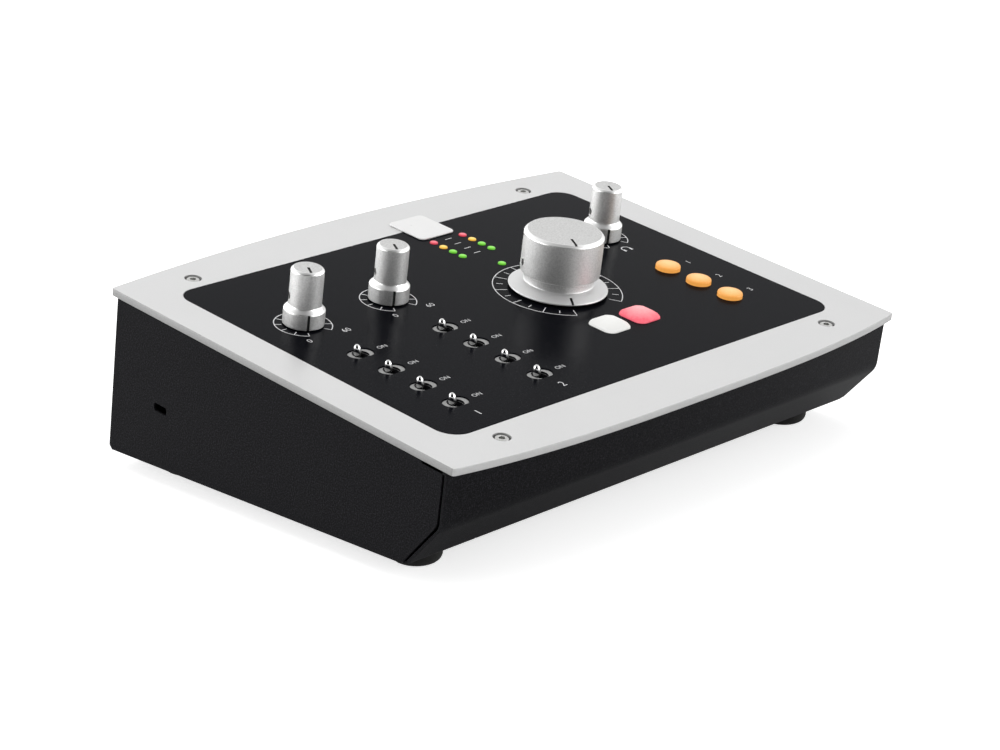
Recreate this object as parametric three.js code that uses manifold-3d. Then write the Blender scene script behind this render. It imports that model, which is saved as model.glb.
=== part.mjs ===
// A desktop audio interface: a wedge-shaped folded case, a bowed metal deck plate with a flush black
// control panel, four metal knobs, eight toggle levers, five lit buttons, a small level meter, and
// the boards and sockets that the case holds.
// Millimetres. X runs to the right along the front edge, Y to the back, Z up. The origin is under the
// middle of the case, on the surface that its feet stand on.
// The deck is sloped. Most pieces are placed in the deck's own frame: u to the right, v up the slope
// to the back, w straight out of the deck, with w = 0 on the deck plate's upper face.

import * as THREE from "three";
import { mergeVertices } from "three/addons/utils/BufferGeometryUtils.js";
import Module from "manifold-3d";

const wasm = await Module();
wasm.setup();

// Clearances shared by the whole object.
const seatGap = 0.3; // between two pieces that touch on the real object
const cutOverrun = 1; // how far a cutter passes the face that it cuts

// How finely round forms are divided.
const fineSides = 48;
const comboSides = 24;
const roundSides = 32;
const smallSides = 16;
const hexSides = 6;
const lensSides = 12;
const cornerSteps = 3;

// Deck plate: a flat metal plate with straight sides and bowed front and rear edges.
const deckTilt = THREE.MathUtils.degToRad(7.5);
const plateWidth = 265;
const plateThickness = 3;
const panelDepth = 157.2; // the panel lies about the deck's middle, and the plate goes on past it
const plateFrontBorder = 26.6; // at the bowed edge's furthest point
const plateRearBorder = 26;
const plateFrontMid = panelDepth / 2 + plateFrontBorder;
const plateRearMid = panelDepth / 2 + plateRearBorder;
const plateFrontBow = 8.1; // how far the front edge falls back at the sides
const plateRearBow = 8.5;
const frontBowPower = 3; // a flat middle with quicker ends
const rearBowPower = 2;
const bowSteps = 20;
const plateCorner = 1.3;

// Control panel: a black sheet set flush in a pocket of the deck plate.
const panelMargin = 18; // from each side edge of the plate
const panelWidth = plateWidth - 2 * panelMargin;
const panelCorner = 9;
const panelThickness = 1;

// Plate screws: low round heads with a hexagon socket, sunk in counterbores.
const screwInset = 34.6; // from each side edge of the plate
const screwSpanU = plateWidth - 2 * screwInset;
const screwFrontInset = 17.2; // from the front edge's furthest point
const screwRearInset = 17.8;
const screwFrontV = screwFrontInset - plateFrontMid;
const screwRearV = plateRearMid - screwRearInset;
const screwHeadRadius = 2.9;
const screwHeadHeight = 1.5;
const screwHeadSink = 0.3;
const screwShankRadius = 1.5;
const screwReach = 6; // below the head
const hexAcrossFlats = 2.5;
const hexDepth = 1.1;
const counterboreRadius = 3.5;

// Badge: a thin white tile over the panel's rear border, left bare.
const badgeWidth = 20.4;
const badgeDepth = 21.7;
const badgeCorner = 2.6;
const badgeThickness = 0.5;
const badgeShare = 0.102795; // of the panel's width, from its middle
const badgeU = badgeShare * panelWidth;
const badgeVShare = 0.492875; // of the panel's depth, from its middle
const badgeV = badgeVShare * panelDepth;

// Case: one folded sheet for the bottom, the two sides and the front, with open corner seams.
const sheet = 1.2;
const plateOverhang = 0.5; // of the plate past each side of the case
const caseWidth = plateWidth - 2 * plateOverhang;
const caseFrontInset = 11.3; // from the plate's front edge to the front wall
const caseRearInset = 12;
const caseFrontV = caseFrontInset - plateFrontMid;
const caseRearV = plateRearMid - caseRearInset;
const caseDrop = 58.05; // from the deck's face to the case's bottom, at v = 0, along w
const frontCreaseW = -26.5; // where the front wall turns back under the case
const chinRun = 15.3; // from the front wall back to where the chin meets the bottom
const chinV = caseFrontV + chinRun;
const bendRadius = 3;
const seam = 1.1;
const flangeReach = 13;
const rearNotch = 2;
const nutRadius = 3.2;
const nutHeight = 2.4;
const lockSlotLength = 7.5;
const lockSlotHeight = 3.3;
const lockSlotCorner = 1;
const lockSlotInset = 29.6; // from the case's rear edge
const lockSlotV = caseRearV - lockSlotInset;
const lockSlotW = -40.5;

// Rear panel: a flat sheet between the case's sides, with a flange at its top.
const rearSheet = 1.5;

// Feet: round rubber pads with a rounded lower edge.
const footRadius = 10.2;
const footHeight = 7.8;
const footRound = 3.6;
const footInset = 20.6; // from each side of the case
const footU = caseWidth / 2 - footInset;
const footFrontRun = 22.4; // behind the chin's lower edge
const footRearInset = 16.6; // from the case's rear edge
const footFrontY = chinV + footFrontRun;
const footRearY = caseRearV - footRearInset;

// Small knobs: a slim barrel over a wider skirt.
const knobHeight = 24.4;
const knobRadius = 6.7;
const knobTopChamfer = 1;
const skirtRadius = 8.4;
const skirtBottom = 0.6;
const skirtTop = 7;
const skirtConeTop = 8.8;
const knobRowShare = 0.180025; // of the panel's depth, from its middle
const knobRowV = knobRowShare * panelDepth;
const gainKnobShares = [-0.396943, -0.192576]; // of the panel's width, from its middle
const phonesKnobShare = 0.375983;
const gainKnobU = gainKnobShares.map((share) => share * panelWidth);
const phonesKnobU = phonesKnobShare * panelWidth;

// Monitor knob: a wide barrel over a neck and a thin flange that slopes down to its rim.
const monitorShare = 0.111354; // of the panel's width, from its middle
const monitorU = monitorShare * panelWidth;
const monitorVShare = -0.010178;
const monitorV = monitorVShare * panelDepth;
const monitorHeight = 26.2;
const monitorRadius = 16.8;
const monitorTopBevel = 1.3;
const monitorBarrelBottom = 8.1;
const monitorNeckRadius = 14.8;
const monitorFlangeRadius = 21;
const monitorFlangeBottom = 1.2;
const monitorFlangeEdge = 2; // height of the rim
const monitorFlangeTop = 4.2; // at the neck

// Pointers: narrow grooves in the top and in the skirt or flange of each knob, at seven o'clock.
const pointerAngle = THREE.MathUtils.degToRad(240);
const pointerWidth = 1.05;
const pointerDepth = 0.5;
const smallPointerLength = 5.4;
const monitorPointerLength = 6.4;
const monitorFlangePointer = 3.8;

// Grub screws hold the knobs on their shafts, a quarter turn from the pointer.
const grubAngle = THREE.MathUtils.degToRad(150);
const grubRadius = 1.2;
const grubHeight = 12.4; // above the panel
const grubLength = 3.4;
const grubHexAcross = 1.2;
const grubHexDepth = 0.8;
const monitorGrubLength = 6;

// Rotary controls under the plate: a body, a threaded bush through the deck and a turning shaft.
const shaftRadius = 3;
const shaftFlat = 0.5;
const shaftTop = 15.6;
const shaftFoot = 8;
const bushRadius = 4.5;
const bushTop = 3.4;
const potWidth = 12;
const potDepth = 13;

// Toggle switches: round-tipped levers that lean left in recessed slots.
const toggleShares = [-0.395633, -0.191703]; // of the panel's width, from its middle
const toggleColumns = toggleShares.map((share) => share * panelWidth);
const toggleFirstShare = -0.028626; // of the panel's depth, from its middle
const toggleFirstV = toggleFirstShare * panelDepth;
const rowPitch = 17.36;
const toggleRows = 4;
const slotLength = 12;
const slotWidth = 7.4;
const leverHoleRadius = 3.2;
const leverTipRadius = 1.6;
const leverStemRadius = 1.35;
const leverTop = 4.6;
const leverShoulder = -1;
const leverPivotW = -9;
const leverFoot = 1.6; // below the pivot
const leverLean = THREE.MathUtils.degToRad(11);
const toggleBodyLength = 10;
const toggleBodyWidth = 7;
const toggleBodyTop = -6.6;
const toggleWellLength = 5.6;

// Push buttons: two square domed caps and a column of three round ones.
const buttonTravel = 1.2;
const buttonFoot = -10;
const buttonRim = 0.9; // width of the rim that keeps a cap under the plate
const buttonRimHeight = 1;
const squareButton = 14.4;
const squareCorner = 3.9;
const squareDomeRadius = 12.4;
const squareDomeTop = 3.3;
const squareButtonShares = [0.071397, 0.15262]; // of the panel's width, from its middle
const squareButtonU = squareButtonShares.map((share) => share * panelWidth);
const squareButtonVShare = -0.249364;
const squareButtonV = squareButtonVShare * panelDepth;
const roundButtonRadius = 5.4;
const roundButtonShare = 0.371179;
const roundButtonU = roundButtonShare * panelWidth;
const roundFirstShare = -0.072519;
const roundButtonFirstV = roundFirstShare * panelDepth;
const roundButtonCount = 3;
const roundButtonRim = 1.8;
const roundDomeTop = 2.6;
const domeSteps = 4;

// Level meter and status light: domed lenses that stand through the panel.
const lensRadius = 1.75;
const lensTop = 0.65;
const lensStraight = 0.2;
const lensFoot = 2;
const lensBarWidth = 5;
const meterShares = [0.072052, 0.148908]; // of the panel's width, from its middle
const meterColumns = meterShares.map((share) => share * panelWidth);
const meterFirstShare = 0.398855; // of the panel's depth, from its middle
const meterFirstV = meterFirstShare * panelDepth;
const meterPitch = 5.8;
const meterCount = 4;
const statusShare = 0.195293;
const statusV = statusShare * panelDepth;

// Boards and the spacers between them.
const board = 1.6;
const controlBoardTop = -13;
const controlBoardInset = 23; // from each side of the case
const controlBoardWidth = caseWidth - 2 * controlBoardInset;
const controlBoardFrontInset = 12.6; // from the panel's front edge
const controlBoardRearInset = 8.6;
const controlBoardFrontV = controlBoardFrontInset - panelDepth / 2;
const controlBoardRearV = panelDepth / 2 - controlBoardRearInset;
const tactWidth = 6;
const mainBoardTop = -44;
const mainBoardInset = 12; // from each side of the case
const mainBoardWidth = caseWidth - 2 * mainBoardInset;
const mainBoardFrontRun = 16.6; // behind the chin's lower edge
const mainBoardRearInset = 8.6; // from the case's rear edge
const mainBoardFrontV = chinV + mainBoardFrontRun;
const mainBoardRearV = caseRearV - mainBoardRearInset;
const spacerRadius = 3;
const spacerInset = 28; // from each side of the case
const spacerU = caseWidth / 2 - spacerInset;
const spacerFrontInset = 6; // from the main board's front edge
const spacerRearInset = 24;
const spacerFrontV = mainBoardFrontV + spacerFrontInset;
const spacerRearV = mainBoardRearV - spacerRearInset;

// Sockets on the rear panel. Their axes run along v.
const socketW = -31;
const comboShares = [-0.359848, -0.227273]; // of the case's width, from its middle
const comboU = comboShares.map((share) => share * caseWidth);
const comboFlangeWidth = 26;
const comboFlangeHeight = 31;
const comboFlangeThickness = 1.8;
const comboCorner = 3;
const comboBodyRadius = 11.8;
const comboCupRadius = 9.6;
const comboCupDepth = 12;
const comboPlugDepth = 8;
const comboBodyDepth = 24;
const contactRadius = 1.1;
const contactCircle = 6.4;
const contactDepth = 4;
const plugBore = 3.5;
const plugDepth = 10;
const jackNose = 4.6;
const jackNoseProud = 1.2;
const jackPitch = 15;
const jackColumns = 2;
const jackUpperW = -22;
const jackLowerW = -37;
const jackBlockShare = -0.079545;
const jackBlockU = jackBlockShare * caseWidth;
const jackBlockWidth = 30;
const jackBlockTop = -15;
const jackBlockDepth = 26;
const phonesJackShare = 0.041667;
const phonesJackU = phonesJackShare * caseWidth;
const phonesJackWidth = 13;
const phonesJackTop = -30.5;
const opticalShare = 0.159091;
const opticalU = opticalShare * caseWidth;
const opticalPitch = 12;
const opticalPorts = 2;
const opticalWidth = 9.6;
const opticalHeight = 9;
const opticalHole = 6.6;
const opticalHoleDepth = 8;
const opticalDepth = 14;
const usbShare = 0.265152;
const usbU = usbShare * caseWidth;
const usbWidth = 10;
const usbHeight = 4.4;
const usbWall = 0.6;
const usbDepth = 9;
const usbTongue = 0.8;
const inletShare = 0.348485;
const inletU = inletShare * caseWidth;
const inletRadius = 5;
const inletBore = 3.1;
const inletPin = 1;
const inletDepth = 11;
const inletHole = 9;
const powerShare = 0.435606;
const powerU = powerShare * caseWidth;
const powerWidth = 13;
const powerHeight = 19;
const powerBezel = 1.6;
const powerBezelProud = 1.4;
const powerDepth = 15;
const powerWall = 1.4;
const rockerSwing = THREE.MathUtils.degToRad(9);
const rockerProud = 2.2;
const rockerBack = 5;

// Values that follow from the ones above.
const panelBottom = -panelThickness;
const pocketFloor = panelBottom - seatGap;
const plateUnderside = -plateThickness;
const underPlate = plateUnderside - seatGap;
const flangeUnderside = underPlate - sheet;
const slope = Math.tan(deckTilt);
const bottomAt = (v) => -(caseDrop + v * slope);
const insideRearV = caseRearV - rearSheet;
const tactTop = buttonFoot - buttonTravel - seatGap;
const boardTopGap = mainBoardTop + seatGap;
const deckHeight = footHeight + caseDrop * Math.cos(deckTilt);
const frontReach = plateFrontMid * Math.cos(deckTilt);
const rearReach = plateRearMid * Math.cos(deckTilt) + plateThickness * Math.sin(deckTilt);
const deckShiftY = (frontReach - rearReach) / 2;
const toggleV = Array.from({ length: toggleRows }, (_, i) => toggleFirstV - i * rowPitch);
const roundButtonV = Array.from({ length: roundButtonCount }, (_, i) => roundButtonFirstV - i * rowPitch);
const meterV = Array.from({ length: meterCount }, (_, i) => meterFirstV - i * meterPitch);
const smallKnobs = [
  { name: "gain_1", u: gainKnobU[0] },
  { name: "gain_2", u: gainKnobU[1] },
  { name: "phones", u: phonesKnobU },
];
const shaftPlaces = [...smallKnobs.map((k) => [k.u, knobRowV]), [monitorU, monitorV]];
const screwPlaces = [
  { name: "front_left", u: -screwSpanU / 2, v: screwFrontV },
  { name: "front_right", u: screwSpanU / 2, v: screwFrontV },
  { name: "rear_left", u: -screwSpanU / 2, v: screwRearV },
  { name: "rear_right", u: screwSpanU / 2, v: screwRearV },
];

// Finishes.
function finish(colour, roughness, metalness) {
  return new THREE.MeshStandardMaterial({ color: colour, roughness, metalness });
}
const satinSilver = () => finish(0xdcdcdc, 0.45, 0.3);
const machinedSilver = () => finish(0xc9c9c8, 0.3, 0.9);
const panelBlack = () => finish(0x2b2b2e, 0.45, 0);
const powderBlack = () => finish(0x262628, 0.7, 0);
const badgeWhite = () => finish(0xf4f4f4, 0.35, 0);
const rubberBlack = () => finish(0x141414, 0.9, 0);
const steel = () => finish(0xa8a8a6, 0.35, 0.9);
const chrome = () => finish(0xd8d8d8, 0.12, 1);
const boardGreen = () => finish(0x1d4a2f, 0.6, 0);
const mouldedBlack = () => finish(0x18181a, 0.5, 0);
const litWhite = () => finish(0xf3f3f2, 0.3, 0);
const litRed = () => finish(0xff8088, 0.3, 0);
const litAmber = () => finish(0xffb060, 0.3, 0);
const lensClear = () => finish(0x9ad870, 0.2, 0);

// Turns a closed three.js geometry into a solid that can be joined and cut.
function solidOf(geometry) {
  const flat = geometry.index ? geometry.toNonIndexed() : geometry.clone();
  flat.deleteAttribute("normal");
  flat.deleteAttribute("uv");
  const merged = mergeVertices(flat, 1e-4);
  const corners = merged.index.array;
  const faces = [];
  for (let i = 0; i < corners.length; i += 3) {
    const [a, b, c] = [corners[i], corners[i + 1], corners[i + 2]];
    if (a !== b && b !== c && c !== a) faces.push(a, b, c);
  }
  const vertProperties = merged.attributes.position.array;
  const triVerts = new Uint32Array(faces);
  return new wasm.Manifold(new wasm.Mesh({ numProp: 3, vertProperties, triVerts }));
}

// Gives a solid back as a geometry with flat faces.
function geometryOf(solid) {
  const { vertProperties, triVerts } = solid.getMesh();
  const geometry = new THREE.BufferGeometry();
  geometry.setAttribute("position", new THREE.BufferAttribute(vertProperties, 3));
  geometry.setIndex(new THREE.BufferAttribute(triVerts, 1));
  const faceted = geometry.toNonIndexed();
  faceted.computeVertexNormals();
  return faceted;
}

// Adds a named piece to a group.
function addPiece(group, name, solid, material) {
  const mesh = new THREE.Mesh(geometryOf(solid), material);
  mesh.name = name;
  group.add(mesh);
  return mesh;
}

const joined = (solids) => solids.reduce((whole, next) => whole.add(next));
const cutBy = (solid, cutters) => cutters.reduce((left, cutter) => left.subtract(cutter), solid);

// A straight block standing on a flat outline, from one height to another.
function slab(shape, from, to, steps = cornerSteps) {
  const geometry = new THREE.ExtrudeGeometry(shape, {
    depth: to - from,
    bevelEnabled: false,
    curveSegments: steps,
  });
  geometry.translate(0, 0, from);
  return solidOf(geometry);
}

// An outline drawn in v and w, carried along u from one side to the other.
function alongU(shape, from, to, steps = cornerSteps) {
  const geometry = new THREE.ExtrudeGeometry(shape, {
    depth: to - from,
    bevelEnabled: false,
    curveSegments: steps,
  });
  geometry.translate(0, 0, from);
  const turn = new THREE.Matrix4().makeBasis(
    new THREE.Vector3(0, 1, 0),
    new THREE.Vector3(0, 0, 1),
    new THREE.Vector3(1, 0, 0),
  );
  return solidOf(geometry.applyMatrix4(turn));
}

// A form turned on a lathe about w, from a profile of [radius, height] points.
function turned(profile, sides = roundSides) {
  const points = profile.map(([radius, height]) => new THREE.Vector2(radius, height));
  return solidOf(new THREE.LatheGeometry(points, sides).rotateX(Math.PI / 2));
}

const rod = (radius, from, to, sides = roundSides) =>
  turned([[0, from], [radius, from], [radius, to], [0, to]], sides);

// A form made upright is laid so that its top faces out of the rear panel, at (u, w).
const facingBack = (solid, u, w) => solid.rotate([-90, 0, 0]).translate([u, 0, w]);

// Flat outlines, all round the origin.
function roundedRectangle(width, depth, corner) {
  const [x, y] = [width / 2, depth / 2];
  const shape = new THREE.Shape();
  shape.moveTo(-x + corner, -y);
  shape.lineTo(x - corner, -y);
  shape.absarc(x - corner, -y + corner, corner, -Math.PI / 2, 0);
  shape.lineTo(x, y - corner);
  shape.absarc(x - corner, y - corner, corner, 0, Math.PI / 2);
  shape.lineTo(-x + corner, y);
  shape.absarc(-x + corner, y - corner, corner, Math.PI / 2, Math.PI);
  shape.lineTo(-x, -y + corner);
  shape.absarc(-x + corner, -y + corner, corner, Math.PI, 1.5 * Math.PI);
  return shape;
}

function rectangle(width, depth) {
  const [x, y] = [width / 2, depth / 2];
  return new THREE.Shape([
    new THREE.Vector2(-x, -y),
    new THREE.Vector2(x, -y),
    new THREE.Vector2(x, y),
    new THREE.Vector2(-x, y),
  ]);
}

const obround = (length, width) => roundedRectangle(length, width, width / 2 - width / 1000);

function hexagon(acrossFlats) {
  const radius = acrossFlats / 2 / Math.cos(Math.PI / hexSides);
  const points = Array.from({ length: hexSides }, (_, i) => {
    const angle = (i * 2 * Math.PI) / hexSides;
    return new THREE.Vector2(radius * Math.cos(angle), radius * Math.sin(angle));
  });
  return new THREE.Shape(points);
}

// A path set to one side of an open path by a distance, to the left of its direction.
function setAside(points, distance) {
  const lines = points.slice(1).map((end, i) => {
    const along = end.clone().sub(points[i]).normalize();
    const side = new THREE.Vector2(-along.y, along.x).multiplyScalar(distance);
    return { from: points[i].clone().add(side), to: end.clone().add(side), along };
  });
  const inner = lines.slice(1).map((next, i) => crossing(lines[i], next));
  return [lines[0].from, ...inner, lines[lines.length - 1].to];
}

// The point where two lines meet.
function crossing(first, second) {
  const between = second.from.clone().sub(first.from);
  const reach = between.cross(second.along) / first.along.cross(second.along);
  return first.from.clone().addScaledVector(first.along, reach);
}

// Runs a shape along points, rounding each inner corner with a curve of the given reach.
function runAlong(shape, points, reach) {
  points.slice(1, -1).forEach((corner, i) => {
    const towards = (other) => corner.clone().addScaledVector(other.clone().sub(corner).normalize(), reach);
    const start = towards(points[i]);
    const end = towards(points[i + 2]);
    shape.lineTo(start.x, start.y);
    shape.quadraticCurveTo(corner.x, corner.y, end.x, end.y);
  });
  const last = points[points.length - 1];
  shape.lineTo(last.x, last.y);
}

// The bowed outline of the deck plate.
function plateOutline() {
  const half = plateWidth / 2;
  const frontV = (u) => -(plateFrontMid - plateFrontBow * Math.abs(u / half) ** frontBowPower);
  const rearV = (u) => plateRearMid - plateRearBow * Math.abs(u / half) ** rearBowPower;
  const reach = half - plateCorner;
  const stepTo = (i) => -reach + (2 * reach * i) / bowSteps;
  const shape = new THREE.Shape();
  shape.moveTo(-reach, frontV(reach));
  for (let i = 1; i <= bowSteps; i++) shape.lineTo(stepTo(i), frontV(stepTo(i)));
  shape.quadraticCurveTo(half, frontV(half), half, frontV(half) + plateCorner);
  shape.lineTo(half, rearV(half) - plateCorner);
  shape.quadraticCurveTo(half, rearV(half), reach, rearV(reach));
  for (let i = 1; i <= bowSteps; i++) shape.lineTo(-stepTo(i), rearV(stepTo(i)));
  shape.quadraticCurveTo(-half, rearV(half), -half, rearV(half) - plateCorner);
  shape.lineTo(-half, frontV(half) + plateCorner);
  shape.quadraticCurveTo(-half, frontV(half), -reach, frontV(reach));
  return shape;
}

// Cutters for everything that passes through the panel or through the plate's floor below it. The
// toggle levers' holes differ in shape, so their cutter is handed in.
function controlHoles(leverHole, from, to) {
  const at = (solid, u, v) => solid.translate([u, v, 0]);
  const bushHole = rod(bushRadius + seatGap, from, to, smallSides);
  const lensHole = rod(lensRadius + seatGap, from, to, lensSides);
  const roundHole = rod(roundButtonRadius + seatGap, from, to, comboSides);
  const squareSide = squareButton + 2 * seatGap;
  const squareHole = slab(roundedRectangle(squareSide, squareSide, squareCorner), from, to, 2);
  return [
    ...shaftPlaces.map(([u, v]) => at(bushHole, u, v)),
    ...meterColumns.flatMap((u) => meterV.map((v) => at(lensHole, u, v))),
    at(lensHole, monitorU, statusV),
    ...roundButtonV.map((v) => at(roundHole, roundButtonU, v)),
    ...squareButtonU.map((u) => at(squareHole, u, squareButtonV)),
    ...toggleColumns.flatMap((u) => toggleV.map((v) => at(leverHole, u, v))),
  ];
}

function deckPlate() {
  const blank = slab(plateOutline(), plateUnderside, 0);
  const pocketShape = roundedRectangle(
    panelWidth + 2 * seatGap,
    panelDepth + 2 * seatGap,
    panelCorner + seatGap,
  );
  const pocket = slab(pocketShape, pocketFloor, cutOverrun);
  const counterboreFloor = -(screwHeadSink + screwHeadHeight + seatGap);
  const screwHole = turned(
    [
      [0, plateUnderside - cutOverrun],
      [screwShankRadius + seatGap, plateUnderside - cutOverrun],
      [screwShankRadius + seatGap, counterboreFloor],
      [counterboreRadius, counterboreFloor],
      [counterboreRadius, cutOverrun],
      [0, cutOverrun],
    ],
    smallSides,
  );
  const screwHoles = screwPlaces.map(({ u, v }) => screwHole.translate([u, v, 0]));
  const [from, to] = [plateUnderside - cutOverrun, 0];
  const leverHole = rod(leverHoleRadius, from, to, lensSides);
  return cutBy(blank, [pocket, ...screwHoles, ...controlHoles(leverHole, from, to)]);
}

function controlPanel() {
  const blank = slab(roundedRectangle(panelWidth, panelDepth, panelCorner), panelBottom, 0);
  const [from, to] = [panelBottom - cutOverrun, cutOverrun];
  const leverSlot = slab(obround(slotLength, slotWidth), from, to);
  return cutBy(blank, controlHoles(leverSlot, from, to));
}

function badgeTile() {
  const tile = slab(roundedRectangle(badgeWidth, badgeDepth, badgeCorner), seatGap, seatGap + badgeThickness);
  return tile.translate([badgeU, badgeV, 0]);
}

function plateScrew() {
  const headTop = -screwHeadSink;
  const headBottom = headTop - screwHeadHeight;
  const body = turned(
    [
      [0, headBottom - screwReach],
      [screwShankRadius, headBottom - screwReach],
      [screwShankRadius, headBottom],
      [screwHeadRadius, headBottom],
      [screwHeadRadius, headTop - screwHeadHeight / 3],
      [screwHeadRadius - screwHeadHeight / 3, headTop],
      [0, headTop],
    ],
    smallSides,
  );
  return body.subtract(slab(hexagon(hexAcrossFlats), headTop - hexDepth, cutOverrun));
}

// The outer line of the folded case, from the tip of the front flange to the rear end of the bottom.
function caseLine(topW, rearV) {
  return [
    new THREE.Vector2(caseFrontV, topW),
    new THREE.Vector2(caseFrontV, frontCreaseW),
    new THREE.Vector2(chinV, bottomAt(chinV)),
    new THREE.Vector2(rearV, bottomAt(rearV)),
  ];
}

// The strip that makes the front flange, the front wall, the chin and the bottom.
function caseStrip() {
  const flangeTip = new THREE.Vector2(caseFrontV + flangeReach, underPlate);
  const outer = [flangeTip, ...caseLine(underPlate, caseRearV - rearNotch)];
  const inner = setAside(outer, sheet).reverse();
  const shape = new THREE.Shape();
  shape.moveTo(outer[0].x, outer[0].y);
  runAlong(shape, outer, bendRadius);
  shape.lineTo(inner[0].x, inner[0].y);
  runAlong(shape, inner, bendRadius - sheet);
  return alongU(shape, -caseWidth / 2, caseWidth / 2);
}

// One side of the case: it follows the front strip at the width of the seam, and grows out of the
// bottom, from the middle of the sheet.
function caseSide(fromU, toU) {
  const edge = setAside(caseLine(underPlate, caseRearV), sheet + seam);
  const middle = sheet / 2;
  const foot = crossing(
    { from: edge[1], along: edge[2].clone().sub(edge[1]).normalize() },
    {
      from: new THREE.Vector2(chinV, bottomAt(chinV) + middle),
      along: new THREE.Vector2(1, -slope).normalize(),
    },
  );
  const heel = caseRearV - rearNotch - seam;
  const shape = new THREE.Shape();
  shape.moveTo(edge[0].x, underPlate);
  runAlong(shape, [edge[0], edge[1], foot], bendRadius);
  shape.lineTo(heel, bottomAt(heel) + middle);
  shape.lineTo(caseRearV, bottomAt(caseRearV) + rearNotch);
  shape.lineTo(caseRearV, underPlate);
  return alongU(shape, fromU, toU);
}

function clinchNut() {
  const bottom = flangeUnderside - nutHeight;
  return rod(nutRadius, bottom, flangeUnderside + sheet / 2, smallSides);
}

// Holes for the two plate screws at one end of the deck.
function flangeHoles(v) {
  const bottom = flangeUnderside - nutHeight - cutOverrun;
  const hole = rod(screwShankRadius + seatGap, bottom, underPlate + cutOverrun, smallSides);
  return [-1, 1].map((side) => hole.translate([(side * screwSpanU) / 2, v, 0]));
}

function flangeNuts(v) {
  return [-1, 1].map((side) => clinchNut().translate([(side * screwSpanU) / 2, v, 0]));
}

// Cutters that take the front flange's two ends back from the sides of the case.
function flangeRelief() {
  const [from, to] = [caseFrontV + bendRadius, caseFrontV + flangeReach + cutOverrun];
  const relief = slab(rectangle(caseWidth, to - from), flangeUnderside - sheet, underPlate + cutOverrun);
  const reach = caseWidth - sheet - seam;
  return [-1, 1].map((side) => relief.translate([side * reach, (from + to) / 2, 0]));
}

function casePan() {
  const half = caseWidth / 2;
  const sides = [caseSide(-half, sheet - half), caseSide(half - sheet, half)];
  const strip = cutBy(caseStrip(), flangeRelief());
  const pan = joined([strip, ...sides, ...flangeNuts(screwFrontV)]);
  const slotCut = alongU(
    roundedRectangle(lockSlotLength, lockSlotHeight, lockSlotCorner),
    -half - cutOverrun,
    sheet - half + cutOverrun,
  ).translate([0, lockSlotV, lockSlotW]);
  return cutBy(pan, [slotCut, ...flangeHoles(screwFrontV)]);
}

// Places of the sockets' holes in the rear panel, as cutters that run along v.
function rearHoles() {
  const [inside, outside] = [insideRearV - cutOverrun, caseRearV + cutOverrun];
  const loose = 2 * seatGap;
  const round = (radius, sides) => rod(radius + seatGap, inside, outside, sides);
  const square = (width, height) => slab(rectangle(width + loose, height + loose), inside, outside);
  const usbHole = slab(obround(usbWidth + loose, usbHeight + loose), inside, outside);
  return [
    ...comboU.map((u) => facingBack(round(comboBodyRadius, comboSides), u, socketW)),
    ...jackPlaces().map(([u, w]) => facingBack(round(jackNose, smallSides), u, w)),
    ...opticalPlaces().map((u) => facingBack(square(opticalWidth, opticalHeight), u, jackLowerW)),
    facingBack(usbHole, usbU, jackLowerW),
    facingBack(round(inletRadius, smallSides), inletU, jackLowerW),
    facingBack(square(powerWidth, powerHeight), powerU, socketW),
  ];
}

function jackPlaces() {
  const columns = Array.from({ length: jackColumns }, (_, i) => jackBlockU + (i - (jackColumns - 1) / 2) * jackPitch);
  return [...columns.flatMap((u) => [jackUpperW, jackLowerW].map((w) => [u, w])), [phonesJackU, jackLowerW]];
}

function opticalPlaces() {
  return Array.from({ length: opticalPorts }, (_, i) => opticalU + (i - (opticalPorts - 1) / 2) * opticalPitch);
}

// The rear wall, with a flange under the deck plate and a flange that stands on the case's bottom.
function rearPanel() {
  const half = caseWidth / 2 - sheet - seatGap;
  const foot = bottomAt(caseRearV) + seatGap;
  const footTip = insideRearV - flangeReach;
  const aboveSheet = (v) => bottomAt(v) + sheet / Math.cos(deckTilt) + seatGap;
  const shape = new THREE.Shape([
    new THREE.Vector2(insideRearV, aboveSheet(insideRearV) + rearSheet),
    new THREE.Vector2(footTip, aboveSheet(footTip) + rearSheet),
    new THREE.Vector2(footTip, aboveSheet(footTip)),
    new THREE.Vector2(insideRearV, aboveSheet(insideRearV)),
    new THREE.Vector2(insideRearV, foot),
    new THREE.Vector2(caseRearV, foot),
    new THREE.Vector2(caseRearV, underPlate),
    new THREE.Vector2(caseRearV - flangeReach, underPlate),
    new THREE.Vector2(caseRearV - flangeReach, flangeUnderside),
    new THREE.Vector2(insideRearV, flangeUnderside),
  ]);
  const panel = joined([alongU(shape, -half, half), ...flangeNuts(screwRearV)]);
  return cutBy(panel, [...rearHoles(), ...flangeHoles(screwRearV)]);
}

// A foot, with its lower edge rounded in quarter-circle steps.
function footPad() {
  const steps = 4;
  const edge = Array.from({ length: steps + 1 }, (_, i) => {
    const angle = (i / steps) * (Math.PI / 2);
    return [footRadius - footRound * (1 - Math.sin(angle)), footRound * (1 - Math.cos(angle))];
  });
  return turned([[0, 0], ...edge, [footRadius, footHeight - seatGap], [0, footHeight - seatGap]], comboSides);
}

// The groove of a pointer: it lies along the pointer's direction, between two radii, cut from the top.
function pointerGroove(fromRadius, toRadius, bottom, top) {
  const shape = rectangle(toRadius - fromRadius, pointerWidth);
  const groove = slab(shape, bottom, top).translate([(fromRadius + toRadius) / 2, 0, 0]);
  return groove.rotate([0, 0, THREE.MathUtils.radToDeg(pointerAngle)]);
}

// The hole for the grub screw, along its own direction.
function radialRod(radius, from, to, angle, height, sides) {
  const laid = rod(radius, from, to, sides).rotate([0, 90, 0]);
  return laid.rotate([0, 0, THREE.MathUtils.radToDeg(angle)]).translate([0, 0, height]);
}

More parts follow.
